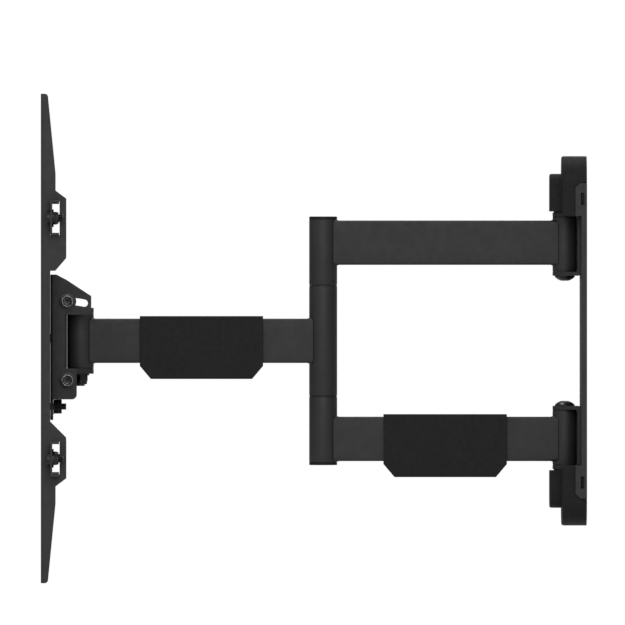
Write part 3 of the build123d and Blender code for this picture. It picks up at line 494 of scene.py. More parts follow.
@dataclass
class Studio:
    """A pale floor, soft light and a long lens at the mount's side, in line with the two rails."""

    view_middle: Vector = field(default_factory=lambda: Vector((0.0, -0.2466, 0.0255)))
    view_width: float = 0.5625
    lens: float = 1650.0
    sensor: float = 36.0
    exact_plane: float = 0.03
    eye_line: float = -0.478
    floor_level: float = -0.375
    floor_radius: float = 5.0

    def light(self, name: str, place: Sequence[float], size: float, power: float) -> None:
        """Adds a square soft light that faces the mount.

        Args:
            name: The light's name.
            place: Where it stands.
            size: Length of its side.
            power: Its power in watts.
        """
        data = bpy.data.lights.new(name, "AREA")
        data.shape = "SQUARE"
        data.size = size
        data.energy = power
        lamp = bpy.data.objects.new(name, data)
        lamp.location = place
        lamp.rotation_euler = (self.view_middle - Vector(place)).to_track_quat("-Z", "Y").to_euler()
        bpy.context.collection.objects.link(lamp)

    def add_lights(self) -> None:
        """Adds the soft lights: one from the viewer's side, two overhead, one from the screen, one behind."""
        self.light("viewer_softbox", (2.2, -0.3, 0.9), 1.8, 21.5)
        self.light("top_softbox", (0.2, -0.2, 2.2), 1.8, 9.0)
        self.light("glint_softbox", (-0.6, -0.5, 1.9), 0.35, 9.0)
        self.light("screen_softbox", (0.8, -2.3, 0.7), 1.4, 6.5)
        self.light("far_softbox", (-2.2, 0.6, 1.1), 1.6, 10.0)

    def add_world(self, seen: float = 1.0, ambient: float = 0.30) -> None:
        """Makes a white surround.

        Args:
            seen: Brightness of the surround itself.
            ambient: Brightness that lights the mount.
        """
        world = bpy.data.worlds.new("white_surround")
        world.use_nodes = True
        tree = world.node_tree
        tree.nodes.clear()
        output = tree.nodes.new("ShaderNodeOutputWorld")
        mix = tree.nodes.new("ShaderNodeMixShader")
        path = tree.nodes.new("ShaderNodeLightPath")
        tree.links.new(path.outputs["Is Camera Ray"], mix.inputs["Fac"])
        for index, strength in ((1, ambient), (2, seen)):
            background = tree.nodes.new("ShaderNodeBackground")
            background.inputs["Color"].default_value = (1.0, 1.0, 1.0, 1.0)
            background.inputs["Strength"].default_value = strength
            tree.links.new(background.outputs["Background"], mix.inputs[index])
        tree.links.new(mix.outputs["Shader"], output.inputs["Surface"])
        bpy.context.scene.world = world
        bpy.context.scene.view_settings.view_transform = "Standard"

    def add_floor(self) -> None:
        """Lays a round pale floor under the mount."""
        mesh = bpy.data.meshes.new("floor")
        body = bmesh.new()
        bmesh.ops.create_circle(body, cap_ends=True, segments=96, radius=self.floor_radius)
        bmesh.ops.translate(body, verts=body.verts, vec=(0.0, self.view_middle.y, self.floor_level))
        body.to_mesh(mesh)
        body.free()
        floor = bpy.data.objects.new("floor", mesh)
        bpy.context.collection.objects.link(floor)
        graph = ShaderGraph("pale_floor")
        tone = graph.blend(graph.noise(3.0, 3.0), (0.80, 0.80, 0.80), (0.83, 0.83, 0.83))
        fine = graph.bump(graph.noise(400.0, 2.0), 0.02 * MM)
        mesh.materials.append(graph.finish(tone, graph.spread(graph.noise(8.0), 0.7, 0.8), fine))

    def add_camera(self) -> None:
        """Adds the camera, far off at the mount's side and level with it."""
        data = bpy.data.cameras.new("camera")
        data.lens = self.lens
        data.sensor_width = self.sensor
        distance = self.view_width * self.lens / self.sensor + self.exact_plane
        data.clip_end = 4.0 * distance
        camera = bpy.data.objects.new("camera", data)
        camera.location = (distance, self.eye_line, self.view_middle.z)
        camera.rotation_euler = (self.view_middle - camera.location).to_track_quat("-Z", "Y").to_euler()
        bpy.context.collection.objects.link(camera)
        bpy.context.scene.camera = camera

    def build(self) -> None:
        """Builds the whole studio."""
        self.add_camera()
        self.add_world()
        self.add_lights()
        self.add_floor()


# ----------------------------------------------------------------------------------------------------
# Turned shapes: bolts, nuts, washers, tubes and caps
# ----------------------------------------------------------------------------------------------------


def circle(radius: float, height: float) -> Ring:
    """Returns a round ring."""
    return lambda angle: (radius, height)


def hexagon(flats: float, height: float, limit: float = math.inf) -> Ring:
    """Returns a six-sided ring.

    Args:
        flats: Width across the flats.
        height: Level of the ring.
        limit: Radius that the corners are turned down to.

    Returns:
        The ring.
    """
    sixth = math.pi / 3

    def ring(angle: float) -> tuple[float, float]:
        """Returns the radius and the level at an angle."""
        return min(limit, flats / 2 / math.cos(angle % sixth - sixth / 2)), height

    return ring


def thread(radius: float, pitch: float, start: float, end: float, per_turn: int = 6) -> list[Ring]:
    """Returns the rings of a rolled thread that fades out at both ends.

    Args:
        radius: Outer radius.
        pitch: Rise in one turn.
        start: Level where it starts.
        end: Level where it ends, below the start.
        per_turn: Rings in one pitch.

    Returns:
        The rings, from the start to the end.
    """
    depth = THREAD_DEPTH * pitch
    count = max(2, round((start - end) / pitch * per_turn))

    def ring(level: float) -> Ring:
        """Returns the ring at one level.

        Args:
            level: The level. The thread is less deep near both of its ends.

        Returns:
            The ring.
        """
        fade = min(1.0, (start - level) / pitch, (level - end) / pitch)
        return lambda angle: (
            radius - depth * fade * (0.5 - 0.5 * math.cos(math.tau * level / pitch + angle)),
            level,
        )

    return [ring(start + (end - start) * step / count) for step in range(count + 1)]


def turned(rings: Sequence[Ring], closed: bool, steps: int = 48) -> bmesh.types.BMesh:
    """Skins a stack of rings about +Z.

    Args:
        rings: The rings. A solid one runs from its top middle to its bottom middle.
        closed: Whether the last ring joins the first, as on a washer, or both ends close at the axis.
        steps: Corners of each ring.

    Returns:
        The closed skin, with its faces outwards.
    """
    body = bmesh.new()
    rows = []
    for ring in rings:
        row = []
        for step in range(steps):
            angle = math.tau * step / steps
            radius, level = ring(angle)
            row.append(body.verts.new((radius * math.cos(angle), radius * math.sin(angle), level)))
        rows.append(row)
    pairs = list(zip(rows, rows[1:]))
    if closed:
        pairs.append((rows[-1], rows[0]))
    for upper, lower in pairs:
        for step in range(steps):
            after = (step + 1) % steps
            body.faces.new((upper[step], lower[step], lower[after], upper[after]))
    if not closed:
        for row in (rows[0], rows[-1]):
            middle = body.verts.new((0.0, 0.0, row[0].co.z))
            for step in range(steps):
                body.faces.new((row[step], row[(step + 1) % steps], middle))
    bmesh.ops.recalc_face_normals(body, faces=body.faces)
    return body


@dataclass(frozen=True)
class Bolt:
    """A bolt whose head stands on z = 0, with its threaded shank below."""

    head: Head
    head_diameter: float
    head_height: float
    diameter: float
    length: float
    pitch: float
    thread_length: float
    socket: float = 0.0
    edge: float = 0.2 * MM
    socket_depth: float = 0.8
    cap_edge: float = 0.55 * MM
    cap_foot: float = 0.25 * MM
    dish_depth: float = 0.55
    dish_floor: float = 0.74
    dish_mouth: float = 0.78
    dome_rise: float = 0.8
    dome_steps: int = 8

    def crown(self) -> list[Ring]:
        """Returns the rings of the head's outside, from its top edge to the shank."""
        radius, height = self.head_diameter / 2, self.head_height
        opening = self.socket / math.sqrt(3) + self.edge
        if self.head is Head.CAP:
            edge, foot = self.cap_edge, self.cap_foot
            side, top = radius - edge, height - edge
            arc = [(side + edge * math.sin(t), top + edge * math.cos(t)) for t in quarter(4)]
            floor = (1 - self.dish_depth) * height
            dish = [(opening, floor), (self.dish_floor * radius, floor), (self.dish_mouth * radius, height)]
            outline = [*dish, *arc, (radius, foot), (radius - foot, 0.0)]
        elif self.head is Head.COUNTERSUNK:
            outline = [(opening, 0.0), (radius - self.edge, 0.0), (radius, -0.75 * self.edge)]
            outline.append((self.diameter / 2, -height))
        else:
            rise = self.dome_rise * height
            bend = (rise**2 + radius**2) / (2 * rise)
            reach = math.asin(radius / bend)
            first = math.asin(opening / bend) if self.socket else 0.1 * reach
            steps = self.dome_steps
            arc = [first + (reach - first) * step / steps for step in range(steps + 1)]
            outline = [(bend * math.sin(t), height - bend * (1 - math.cos(t))) for t in arc]
            outline += [(radius, self.edge), (radius - self.edge, 0.0)]
        return [circle(*corner) for corner in outline]

    def recess(self) -> list[Ring]:
        """Returns the rings of the six-sided socket, from its floor to its mouth."""
        if not self.socket:
            return []
        top = 0.0 if self.head is Head.COUNTERSUNK else self.head_height
        floor = top - self.socket_depth * self.head_height
        depths = {Head.DOME: 0.5 * MM, Head.CAP: self.dish_depth * self.head_height, Head.COUNTERSUNK: 0.0}
        mouth = top - depths[self.head] - self.cap_foot
        return [
            circle(0.2 * self.socket, floor - self.edge),
            hexagon(self.socket, floor),
            hexagon(self.socket, mouth),
        ]

    def mesh(self) -> bmesh.types.BMesh:
        """Returns the bolt's skin."""
        shank = self.diameter / 2
        under = -self.head_height if self.head is Head.COUNTERSUNK else 0.0
        plain_end = self.thread_length - self.length
        rings = [*self.recess(), *self.crown()]
        rings += [circle(shank, under - 0.5 * self.edge), circle(shank, plain_end)]
        rings += thread(shank, self.pitch, plain_end, 1.5 * self.edge - self.length)[1:]
        rings.append(circle(0.8 * shank, -self.length))
        return turned(rings, closed=False)


def quarter(steps: int) -> list[float]:
    """Returns angles from 0 to a right angle."""
    return [0.5 * math.pi * step / steps for step in range(steps + 1)]


@dataclass(frozen=True)
class Nut:
    """The steel body of a locking nut that stands on z = 0, with its collar on top."""

    flats: float
    height: float
    bore: float
    collar_share: float = 0.35
    clearance: float = 0.02 * MM
    rim: float = 1.0 * MM
    seat: float = 0.45 * MM

    @property
    def collar(self) -> tuple[float, float]:
        """Level where the collar starts, and its outer radius."""
        return self.height * (1 - self.collar_share), 0.46 * self.flats

    @property
    def hole(self) -> float:
        """Radius of the hole."""
        return self.bore / 2 + self.clearance

    def mesh(self) -> bmesh.types.BMesh:
        """Returns the nut's skin, with a seat for its insert."""
        level, radius = self.collar
        flat = self.flats / 2
        cut = self.flats / math.sqrt(3) - flat
        chamfer = 0.58 * cut
        ledge = self.height - self.seat
        rings = [
            circle(self.hole, 0.0),
            hexagon(self.flats, 0.0, flat),
            hexagon(self.flats, chamfer / 2, flat + cut / 2),
            hexagon(self.flats, chamfer),
            hexagon(self.flats, level - chamfer),
            hexagon(self.flats, level - chamfer / 2, flat + cut / 2),
            hexagon(self.flats, level, flat),
            circle(radius, level),
            circle(radius, self.height - 0.7 * self.rim),
            circle(radius - 0.25 * self.rim, self.height - 0.2 * self.rim),
            circle(radius - 0.8 * self.rim, self.height),
            circle(radius - self.rim, ledge),
            circle(self.hole, ledge),
        ]
        return turned(rings, closed=True)


@dataclass(frozen=True)
class Insert:
    """The nylon ring of a locking nut, seated in the nut's collar."""

    nut: Nut
    gap: float = 0.02 * MM
    sink: float = 0.12 * MM
    edge: float = 0.15 * MM
    side: float = 0.1 * MM

    def mesh(self) -> bmesh.types.BMesh:
        """Returns the ring's skin."""
        outer = self.nut.collar[1] - self.nut.rim
        hole = self.nut.hole
        floor = self.nut.height - self.nut.seat + self.gap
        top = self.nut.height - self.sink
        shoulder = top - self.side
        rings = [circle(hole, floor), circle(outer, floor), circle(outer, shoulder)]
        rings += [circle(outer - self.edge, top), circle(hole + self.edge, top), circle(hole, shoulder)]
        return turned(rings, closed=True)


@dataclass(frozen=True)
class Sleeve:
    """A washer or a tube with softened edges that stands on z = 0."""

    diameter: float
    bore: float
    height: float
    edge: float = 0.15 * MM

    def mesh(self) -> bmesh.types.BMesh:
        """Returns the sleeve's skin."""
        outer, inner, edge = self.diameter / 2, self.bore / 2, self.edge
        shoulder, top = outer - edge, self.height - edge
        rings = [circle(inner, edge), circle(inner + edge, 0.0)]
        rings += [circle(shoulder + edge * math.sin(t), edge - edge * math.cos(t)) for t in quarter(3)]
        rings += [circle(shoulder + edge * math.cos(t), top + edge * math.sin(t)) for t in quarter(3)]
        rings += [circle(inner + edge, self.height), circle(inner, top)]
        return turned(rings, closed=True, steps=SMOOTH_STEPS)


@dataclass(frozen=True)
class Bush:
    """A flanged bush: a sleeve below z = 0, and above it a flange that wipes the tube over it."""

    diameter: float
    sleeve: float
    bore: float
    length: float
    flange: float = 0.97 * MM
    edge: float = 0.12 * MM

    def mesh(self) -> bmesh.types.BMesh:
        """Returns the bush's skin."""
        rim, hole, edge = self.diameter / 2, self.bore / 2, self.edge
        rings = [circle(hole, edge - self.length), circle(hole + edge, -self.length)]
        rings += [circle(self.sleeve / 2 - edge, -self.length), circle(self.sleeve / 2, edge - self.length)]
        rings += [circle(self.sleeve / 2, 0.0), circle(rim - edge, 0.0), circle(rim, edge)]
        rings += [circle(rim, self.flange - edge), circle(rim - edge, self.flange)]
        rings += [circle(hole + edge, self.flange), circle(hole, self.flange - edge)]
        return turned(rings, closed=True, steps=SMOOTH_STEPS)


@dataclass(frozen=True)
class Knob:
    """A fluted knob that stands on z = 0."""

    diameter: float
    bore: float
    height: float
    flutes: int = 8
    flute_depth: float = 0.65 * MM
    edge: float = 0.5 * MM
    soft: float = 0.15 * MM
    dish_mouth: float = 1.6 * MM
    dish_floor: float = 1.2 * MM
    dish_depth: float = 0.6 * MM

    def fluted(self, inset: float, level: float) -> Ring:
        """Returns a ring with a smooth hollow at each flute.

        Args:
            inset: How far the ring stands in from the rim.
            level: Level of the ring.

        Returns:
            The ring.
        """

        def ring(angle: float) -> tuple[float, float]:
            """Returns the radius and the level at an angle."""
            wave = max(0.0, math.cos(self.flutes * angle))
            return self.diameter / 2 - inset - self.flute_depth * wave, level

        return ring

    def mesh(self) -> bmesh.types.BMesh:
        """Returns the knob's skin."""
        hole, top = self.bore / 2, self.height
        dish = top - self.dish_depth
        rings = [circle(hole, 0.0), self.fluted(self.edge, 0.0), self.fluted(self.soft, 2 * self.soft)]
        rings += [self.fluted(0.0, self.edge), self.fluted(0.0, top - self.edge)]
        rings += [self.fluted(self.soft, top - self.soft), self.fluted(self.edge, top)]
        rings += [circle(hole + self.dish_mouth, top), circle(hole + self.dish_floor, dish)]
        rings.append(circle(hole, dish))
        return turned(rings, closed=True, steps=12 * self.flutes)


Fastener = Bolt | Nut | Insert | Sleeve | Bush | Knob


# ----------------------------------------------------------------------------------------------------
# Geometry Nodes
# ----------------------------------------------------------------------------------------------------


class NodeRecipe:
    """A Geometry Nodes tree with named inputs, which ends in Realize Instances and Set Material."""

    def __init__(self, name: str, **inputs: str) -> None:
        """Makes the tree's interface, with the finish as its last input.

        Args:
            name: The tree's name.
            inputs: Each input's name, with underscores for spaces, and the kind of its socket.
        """
        self.tree = bpy.data.node_groups.new(name, "GeometryNodeTree")
        self.tree.is_modifier = True
        face = self.tree.interface
        face.new_socket(name="Geometry", in_out="OUTPUT", socket_type="NodeSocketGeometry")
        face.new_socket(name="Geometry", in_out="INPUT", socket_type="NodeSocketGeometry")
        for label, kind in {**inputs, "Finish": "Material"}.items():
            face.new_socket(name=label.replace("_", " "), in_out="INPUT", socket_type=f"NodeSocket{kind}")
        self.given = self.tree.nodes.new("NodeGroupInput").outputs
        self.result = self.tree.nodes.new("NodeGroupOutput").inputs

    def add(
        self, kind: str, links: dict[str, Socket] | None = None, **values: object
    ) -> bpy.types.Node:
        """Adds a node, joins its inputs and sets its values.

        Args:
            kind: The node's type name.
            links: Input names, and the sockets that feed them.
            values: Constant inputs, named with underscores for spaces, or properties of the node.

        Returns:
            The new node.
        """
        node = self.tree.nodes.new(kind)
        for name, value in values.items():
            label = name.replace("_", " ")
            if hasattr(node, name):
                setattr(node, name, value)
            else:
                node.inputs[label].default_value = value
        for label, source in (links or {}).items():
            self.tree.links.new(source, node.inputs[int(label) if label.isdigit() else label])
        return node

    def math(self, operation: str, *terms: Socket | float) -> Socket:
        """Adds a sum of two or three terms.

        Args:
            operation: The name of the sum.
            terms: Sockets or numbers.

        Returns:
            The socket of its result.
        """
        node = self.tree.nodes.new("ShaderNodeMath")
        node.operation = operation
        for index, term in enumerate(terms):
            if isinstance(term, Socket):
                self.tree.links.new(term, node.inputs[index])
            else:
                node.inputs[index].default_value = term
        return node.outputs["Value"]

    def close(self, geometry: Socket) -> None:
        """Ends the tree: makes instances real and sets the finish.

        Args:
            geometry: What the tree has made.
        """
        real = self.add("GeometryNodeRealizeInstances", {"Geometry": geometry})
        dressed = self.add(
            "GeometryNodeSetMaterial",
            {"Geometry": real.outputs["Geometry"], "Material": self.given["Finish"]},
        )
        self.tree.links.new(dressed.outputs["Geometry"], self.result["Geometry"])

    def run(self, source: bmesh.types.BMesh | None, **values: object) -> bpy.types.Mesh:
        """Runs the tree once and returns its result as a plain mesh.

        Args:
            source: The mesh that goes in, which is used up, or None.
            values: The tree's inputs, named with underscores for spaces.

        Returns:
            The result.
        """
        mesh = bpy.data.meshes.new("source")
        if source is not None:
            source.to_mesh(mesh)
            source.free()
        carrier = bpy.data.objects.new("carrier", mesh)
        bpy.context.collection.objects.link(carrier)
        modifier = carrier.modifiers.new("recipe", "NODES")
        modifier.node_group = self.tree
        items = self.tree.interface.items_tree
        sockets = {item.name: item.identifier for item in items if item.in_out == "INPUT"}
        for name, value in values.items():
            modifier[sockets[name.replace("_", " ")]] = value
        carrier.update_tag()
        bpy.context.view_layer.update()
        graph = bpy.context.evaluated_depsgraph_get()
        made = bpy.data.meshes.new_from_object(carrier.evaluated_get(graph), depsgraph=graph)
        carrier.modifiers.clear()
        bpy.data.objects.remove(carrier)
        return made


class FastenerPattern(NodeRecipe):
    """Repeats one fastener over a grid, all facing one way."""

    def __init__(self) -> None:
        """Builds the tree."""
        super().__init__(
            "fastener_pattern",
            Across="Float",
            Up="Float",
            Columns="Int",
            Rows="Int",
            Turn="Rotation",
            Middle="Vector",
        )
        given = self.given
        grid = self.add(
            "GeometryNodeMeshGrid",
            {
                "Size X": given["Across"],
                "Size Y": given["Up"],
                "Vertices X": given["Columns"],
                "Vertices Y": given["Rows"],
            },
        )
        placed = self.add(
            "GeometryNodeTransform",
            {"Geometry": grid.outputs["Mesh"], "Translation": given["Middle"], "Rotation": given["Turn"]},
        )
        copies = self.add(
            "GeometryNodeInstanceOnPoints",
            {"Points": placed.outputs["Geometry"], "Instance": given["Geometry"], "Rotation": given["Turn"]},
        )
        self.close(copies.outputs["Instances"])


class WeldBead(NodeRecipe):
    """Lays a rippled weld bead along each line of edges that goes in."""

    SIZES = (0.92, 1.08)
    SEED = 7

    def __init__(self) -> None:
        """Builds the tree."""
        super().__init__("weld_bead", Ripple_Spacing="Float", Bead_Radius="Float", Bead_Rise="Float")
        given = self.given
        line = self.add("GeometryNodeMeshToCurve", {"Mesh": given["Geometry"]})
        spaced = self.add(
            "GeometryNodeResampleCurve",
            {"Curve": line.outputs["Curve"], "Length": given["Ripple Spacing"]},
            mode="LENGTH",
        )
        ripple = self.add("GeometryNodeMeshUVSphere", {"Radius": given["Bead Radius"]}, Segments=12, Rings=8)
        flat = self.add("ShaderNodeCombineXYZ", {"Z": given["Bead Rise"]}, X=1.0, Y=1.0)
        uneven = self.add("FunctionNodeRandomValue", data_type="FLOAT")
        limits = [s for s in uneven.inputs if s.type == "VALUE"]
        for socket, limit in zip(limits, self.SIZES):
            socket.default_value = limit
        uneven.inputs["Seed"].default_value = self.SEED
        size = self.add("ShaderNodeVectorMath", {"0": flat.outputs["Vector"]}, operation="SCALE")
        value = next(s for s in uneven.outputs if s.type == "VALUE")
        self.tree.links.new(value, size.inputs["Scale"])
        beads = self.add(
            "GeometryNodeInstanceOnPoints",
            {
                "Points": spaced.outputs["Curve"],
                "Instance": ripple.outputs["Mesh"],
                "Scale": size.outputs["Vector"],
            },
        )
        self.close(beads.outputs["Instances"])


class BoxArm(NodeRecipe):
    """A length of box tube along Y, with both ends necked in and cut to sit round upright tubes."""

    LAST = 9
    CORNER_STEPS = 7
    EDGE = 0.25 * MM
    SHALLOW = 0.6 * MM

    def __init__(self) -> None:
        """Builds the tree."""
        sizes = ("Width", "Height", "Corner", "Level", "Rear", "Front", "Rear_Radius", "Front_Radius")
        super().__init__("box_arm", **dict.fromkeys((*sizes, "Lip", "Neck"), "Float"))
        given = self.given
        outline = self.add(
            "GeometryNodeCurvePrimitiveQuadrilateral", {"Width": given["Width"], "Height": given["Height"]}
        )
        rounded = self.add(
            "GeometryNodeFilletCurve",
            {"Curve": outline.outputs["Curve"], "Radius": given["Corner"]},
            mode="POLY",
            Count=self.CORNER_STEPS,
        )
        fine = self.add("GeometryNodeSubdivideCurve", {"Curve": rounded.outputs["Curve"]}, Cuts=3)
        start = self.add("ShaderNodeCombineXYZ", {"Y": given["Rear"], "Z": given["Level"]})
        end = self.add("ShaderNodeCombineXYZ", {"Y": given["Front"], "Z": given["Level"]})
        line = self.add(
            "GeometryNodeCurvePrimitiveLine", {"Start": start.outputs["Vector"], "End": end.outputs["Vector"]}
        )
        stations = self.add(
            "GeometryNodeResampleCurve", {"Curve": line.outputs["Curve"]}, Count=self.LAST + 1
        )
        skin = self.add(
            "GeometryNodeCurveToMesh",
            {"Curve": stations.outputs["Curve"], "Profile Curve": fine.outputs["Curve"]},
            Fill_Caps=True,
        )
        shaped = self.add(
            "GeometryNodeSetPosition",
            {"Geometry": skin.outputs["Mesh"], "Position": self.fitted_place()},
        )
        self.close(shaped.outputs["Geometry"])

    def fitted_place(self) -> Socket:
        """Returns where each point goes: the end rings move onto the tubes, and the neck turns in.

        Returns:
            The socket of the place. Above and below, the neck turns in less than at the sides.
        """
        given = self.given
        place = self.add("GeometryNodeInputPosition")
        parts = self.add("ShaderNodeSeparateXYZ", {"Vector": place.outputs["Position"]})
        x, y, z = (parts.outputs[name] for name in "XYZ")
        length = self.math("SUBTRACT", given["Rear"], given["Front"])
        share = self.math("DIVIDE", self.math("SUBTRACT", given["Rear"], y), length)
        station = self.math("ROUND", self.math("MULTIPLY", share, float(self.LAST)))
        new_y, inset = y, 0.0
        for end, radius, sign, number in (
            (given["Rear"], given["Rear Radius"], -1.0, 0),
            (given["Front"], given["Front Radius"], 1.0, self.LAST),
        ):
            square = self.math("SUBTRACT", self.math("POWER", radius, 2.0), self.math("POWER", x, 2.0))
            touch = self.math("MULTIPLY_ADD", self.math("SQRT", square), sign, end)
            shoulder = self.math("MULTIPLY_ADD", given["Lip"], sign, touch)
            rounded = self.math("ADD", shoulder, sign * self.EDGE)
            rings = (
                (touch, given["Neck"]),
                (shoulder, given["Neck"]),
                (shoulder, self.EDGE),
                (rounded, 0.0),
            )
            for step, (ring_y, ring_inset) in enumerate(rings):
                index = number + step if number == 0 else number - step
                here = self.math("COMPARE", station, float(index), 0.1)
                new_y = self.math("MULTIPLY_ADD", here, self.math("SUBTRACT", ring_y, new_y), new_y)
                inset = self.math("MULTIPLY_ADD", here, self.math("SUBTRACT", ring_inset, inset), inset)
        lifted = self.math("SUBTRACT", z, given["Level"])
        new_x = self.math("SUBTRACT", x, self.turn_in(x, given["Width"], inset))
        shallow = self.math("MINIMUM", inset, self.SHALLOW)
        new_z = self.math("SUBTRACT", z, self.turn_in(lifted, given["Height"], shallow))
        joined = self.add("ShaderNodeCombineXYZ", {"X": new_x, "Y": new_y, "Z": new_z})
        return joined.outputs["Vector"]

    def turn_in(self, offset: Socket, size: Socket, inset: Socket) -> Socket:
        """Returns how far a point moves towards the middle: the whole inset at the outline, less inside it.

        Args:
            offset: The point's distance from the middle.
            size: The outline's full size that way.
            inset: How far the outline itself moves.

        Returns:
            The socket of the move.
        """
        share = self.math("DIVIDE", offset, self.math("MULTIPLY", size, 0.5))
        return self.math("MULTIPLY", share, inset)


# ----------------------------------------------------------------------------------------------------
# Workshop: makes pieces, dresses them and hands them to the frame
# ----------------------------------------------------------------------------------------------------


@dataclass(frozen=True)
class Placing:
    """Where a grid of equal fasteners stands, and which way they face."""

    facing: Axis
    middle: tuple[float, float, float]
    across: float = 0.0
    up: float = 0.0

    def turn(self) -> tuple[float, float, float]:
        """Returns the turn that points +Z along the facing, and +X along X or, when it faces sideways, Y."""
        forward = Vector(self.facing.value)
        across = Vector((0.0, 1.0, 0.0)) if forward.x else Vector((1.0, 0.0, 0.0))
        axes = Matrix((across, forward.cross(across), forward)).transposed()
        return tuple(axes.to_euler())


class Workshop:
    """Makes pieces and hands them to the frame."""

    SHARP = math.radians(35.0)
    ROUNDED = math.radians(30.0)
    FLAT = math.radians(0.5)

    def __init__(self) -> None:
        """Makes the materials and the node trees."""
        self.palette = Palette()
        self.pattern = FastenerPattern()
        self.welds = WeldBead()
        self.arms = BoxArm()

    def hand_over(
        self, name: str, mesh: bpy.types.Mesh, body: str, slot: Slot, nodes: Sequence[str] = ()
    ) -> bpy.types.Object:
        """Makes an object of a mesh, dresses it and lets it ride.

        Args:
            name: The piece's name.
            mesh: Its mesh.
            body: The body that it rides on.
            slot: The slot of its finish.
            nodes: The nodes that it stands for.

        Returns:
            The piece.
        """
        mesh.name = name
        for face in mesh.polygons:
            face.use_smooth = True
            face.material_index = 0
        mesh.set_sharp_from_angle(angle=self.SHARP)
        piece = bpy.data.objects.new(name, mesh)
        bpy.context.collection.objects.link(piece)
        self.palette.dress(piece, slot)
        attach(piece, body)
        if nodes:
            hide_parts(*nodes)
        LOG.info("%s: %d faces on %s", name, len(mesh.polygons), body)
        return piece

    def fasten(
        self,
        name: str,
        body: str,
        slot: Slot,
        shape: Fastener,
        placings: Iterable[Placing],
        nodes: Sequence[str] = (),
    ) -> None:
        """Makes one piece of equal fasteners.

        Args:
            name: The piece's name.
            body: The body that it rides on.
            slot: The slot of its finish.
            shape: The fastener.
            placings: Where they stand.
            nodes: The nodes that the piece stands for.
        """
        whole = bmesh.new()
        for placing in placings:
            part = self.pattern.run(
                shape.mesh(),
                Across=placing.across,
                Up=placing.up,
                Columns=2 if placing.across else 1,
                Rows=2 if placing.up else 1,
                Turn=placing.turn(),
                Middle=placing.middle,
                Finish=self.palette.materials[slot],
            )
            whole.from_mesh(part)
            bpy.data.meshes.remove(part)
        mesh = bpy.data.meshes.new(name)
        whole.to_mesh(mesh)
        whole.free()
        self.hand_over(name, mesh, body, slot, nodes)

    def soften(self, node: str, body: str, slot: Slot, edge: float) -> None:
        """Makes a copy of a node with its sharp edges rounded.

        Args:
            node: The node.
            body: The body that it rides on.
            slot: The slot of its finish.
            edge: Width of the rounding.
        """
        shape = bmesh.new()
        shape.from_mesh(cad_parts[node].data)
        bmesh.ops.remove_doubles(shape, verts=shape.verts, dist=0.001 * MM)
        bmesh.ops.dissolve_limit(shape, angle_limit=self.FLAT, verts=shape.verts, edges=shape.edges)
        mesh = bpy.data.meshes.new(node)
        shape.to_mesh(mesh)
        shape.free()
        piece = self.hand_over(f"{node}_finished", mesh, body, slot, [node])
        rounding = piece.modifiers.new("rounded_edges", "BEVEL")
        rounding.width = edge
        rounding.segments = 2
        rounding.limit_method = "ANGLE"
        rounding.angle_limit = self.ROUNDED
        rounding.use_clamp_overlap = False
        rounding.harden_normals = True

    def keep(self, node: str, slot: Slot) -> None:
        """Dresses a node that is shown as it is.

        Args:
            node: The node.
            slot: The slot of its finish.
        """
        self.palette.dress(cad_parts[node], slot)
        LOG.info("%s: kept", node)


def span(node: str) -> tuple[Vector, Vector]:
    """Returns the lowest and the highest corner of a node at rest."""
    low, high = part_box(node)
    return Vector(low), Vector(high)


def middle(node: str) -> Vector:
    """Returns the middle of a node's box at rest."""
    low, high = span(node)
    return (low + high) / 2


def across(node: str) -> float:
    """Returns a node's size along X."""
    low, high = span(node)
    return high.x - low.x


# ----------------------------------------------------------------------------------------------------
# Sub-assemblies
# ----------------------------------------------------------------------------------------------------


@dataclass
class SubAssembly:
    """Pieces that ride on one body, and the short ways in which they are made."""

    shop: Workshop
    body: str = ""

    def build(self) -> None:
        """Builds the pieces."""
        raise NotImplementedError

    def soften(self, slot: Slot, edge: float, *nodes: str) -> None:
        """Makes copies of nodes with their sharp edges rounded.

        Args:
            slot: The slot of their finish.
            edge: Width of the rounding.
            nodes: The nodes.
        """
        for node in nodes:
            self.shop.soften(node, self.body, slot, edge)

    def fasten(
        self,
        name: str,
        shape: Fastener,
        places: Iterable[Placing],
        node: str = "",
        slot: Slot = Slot.BLACK_STEEL,
    ) -> None:
        """Makes one piece of equal fasteners.

        Args:
            name: The piece's name.
            shape: The fastener.
            places: Where they stand.
            node: The node that the piece stands for, if there is one.
            slot: The slot of its finish.
        """
        self.shop.fasten(name, self.body, slot, shape, places, [node] if node else ())

    def lock(self, name: str, inserts: str, nut: Nut, seats: Sequence[Placing], node: str) -> None:
        """Makes locking nuts, and their nylon rings as a second piece.

        Args:
            name: The name of the nuts' piece.
            inserts: The name of the rings' piece.
            nut: The nut.
            seats: Where they stand.
            node: The nuts' node.
        """
        self.fasten(name, nut, seats, node)
        self.fasten(inserts, Insert(nut), seats, slot=Slot.NYLON)


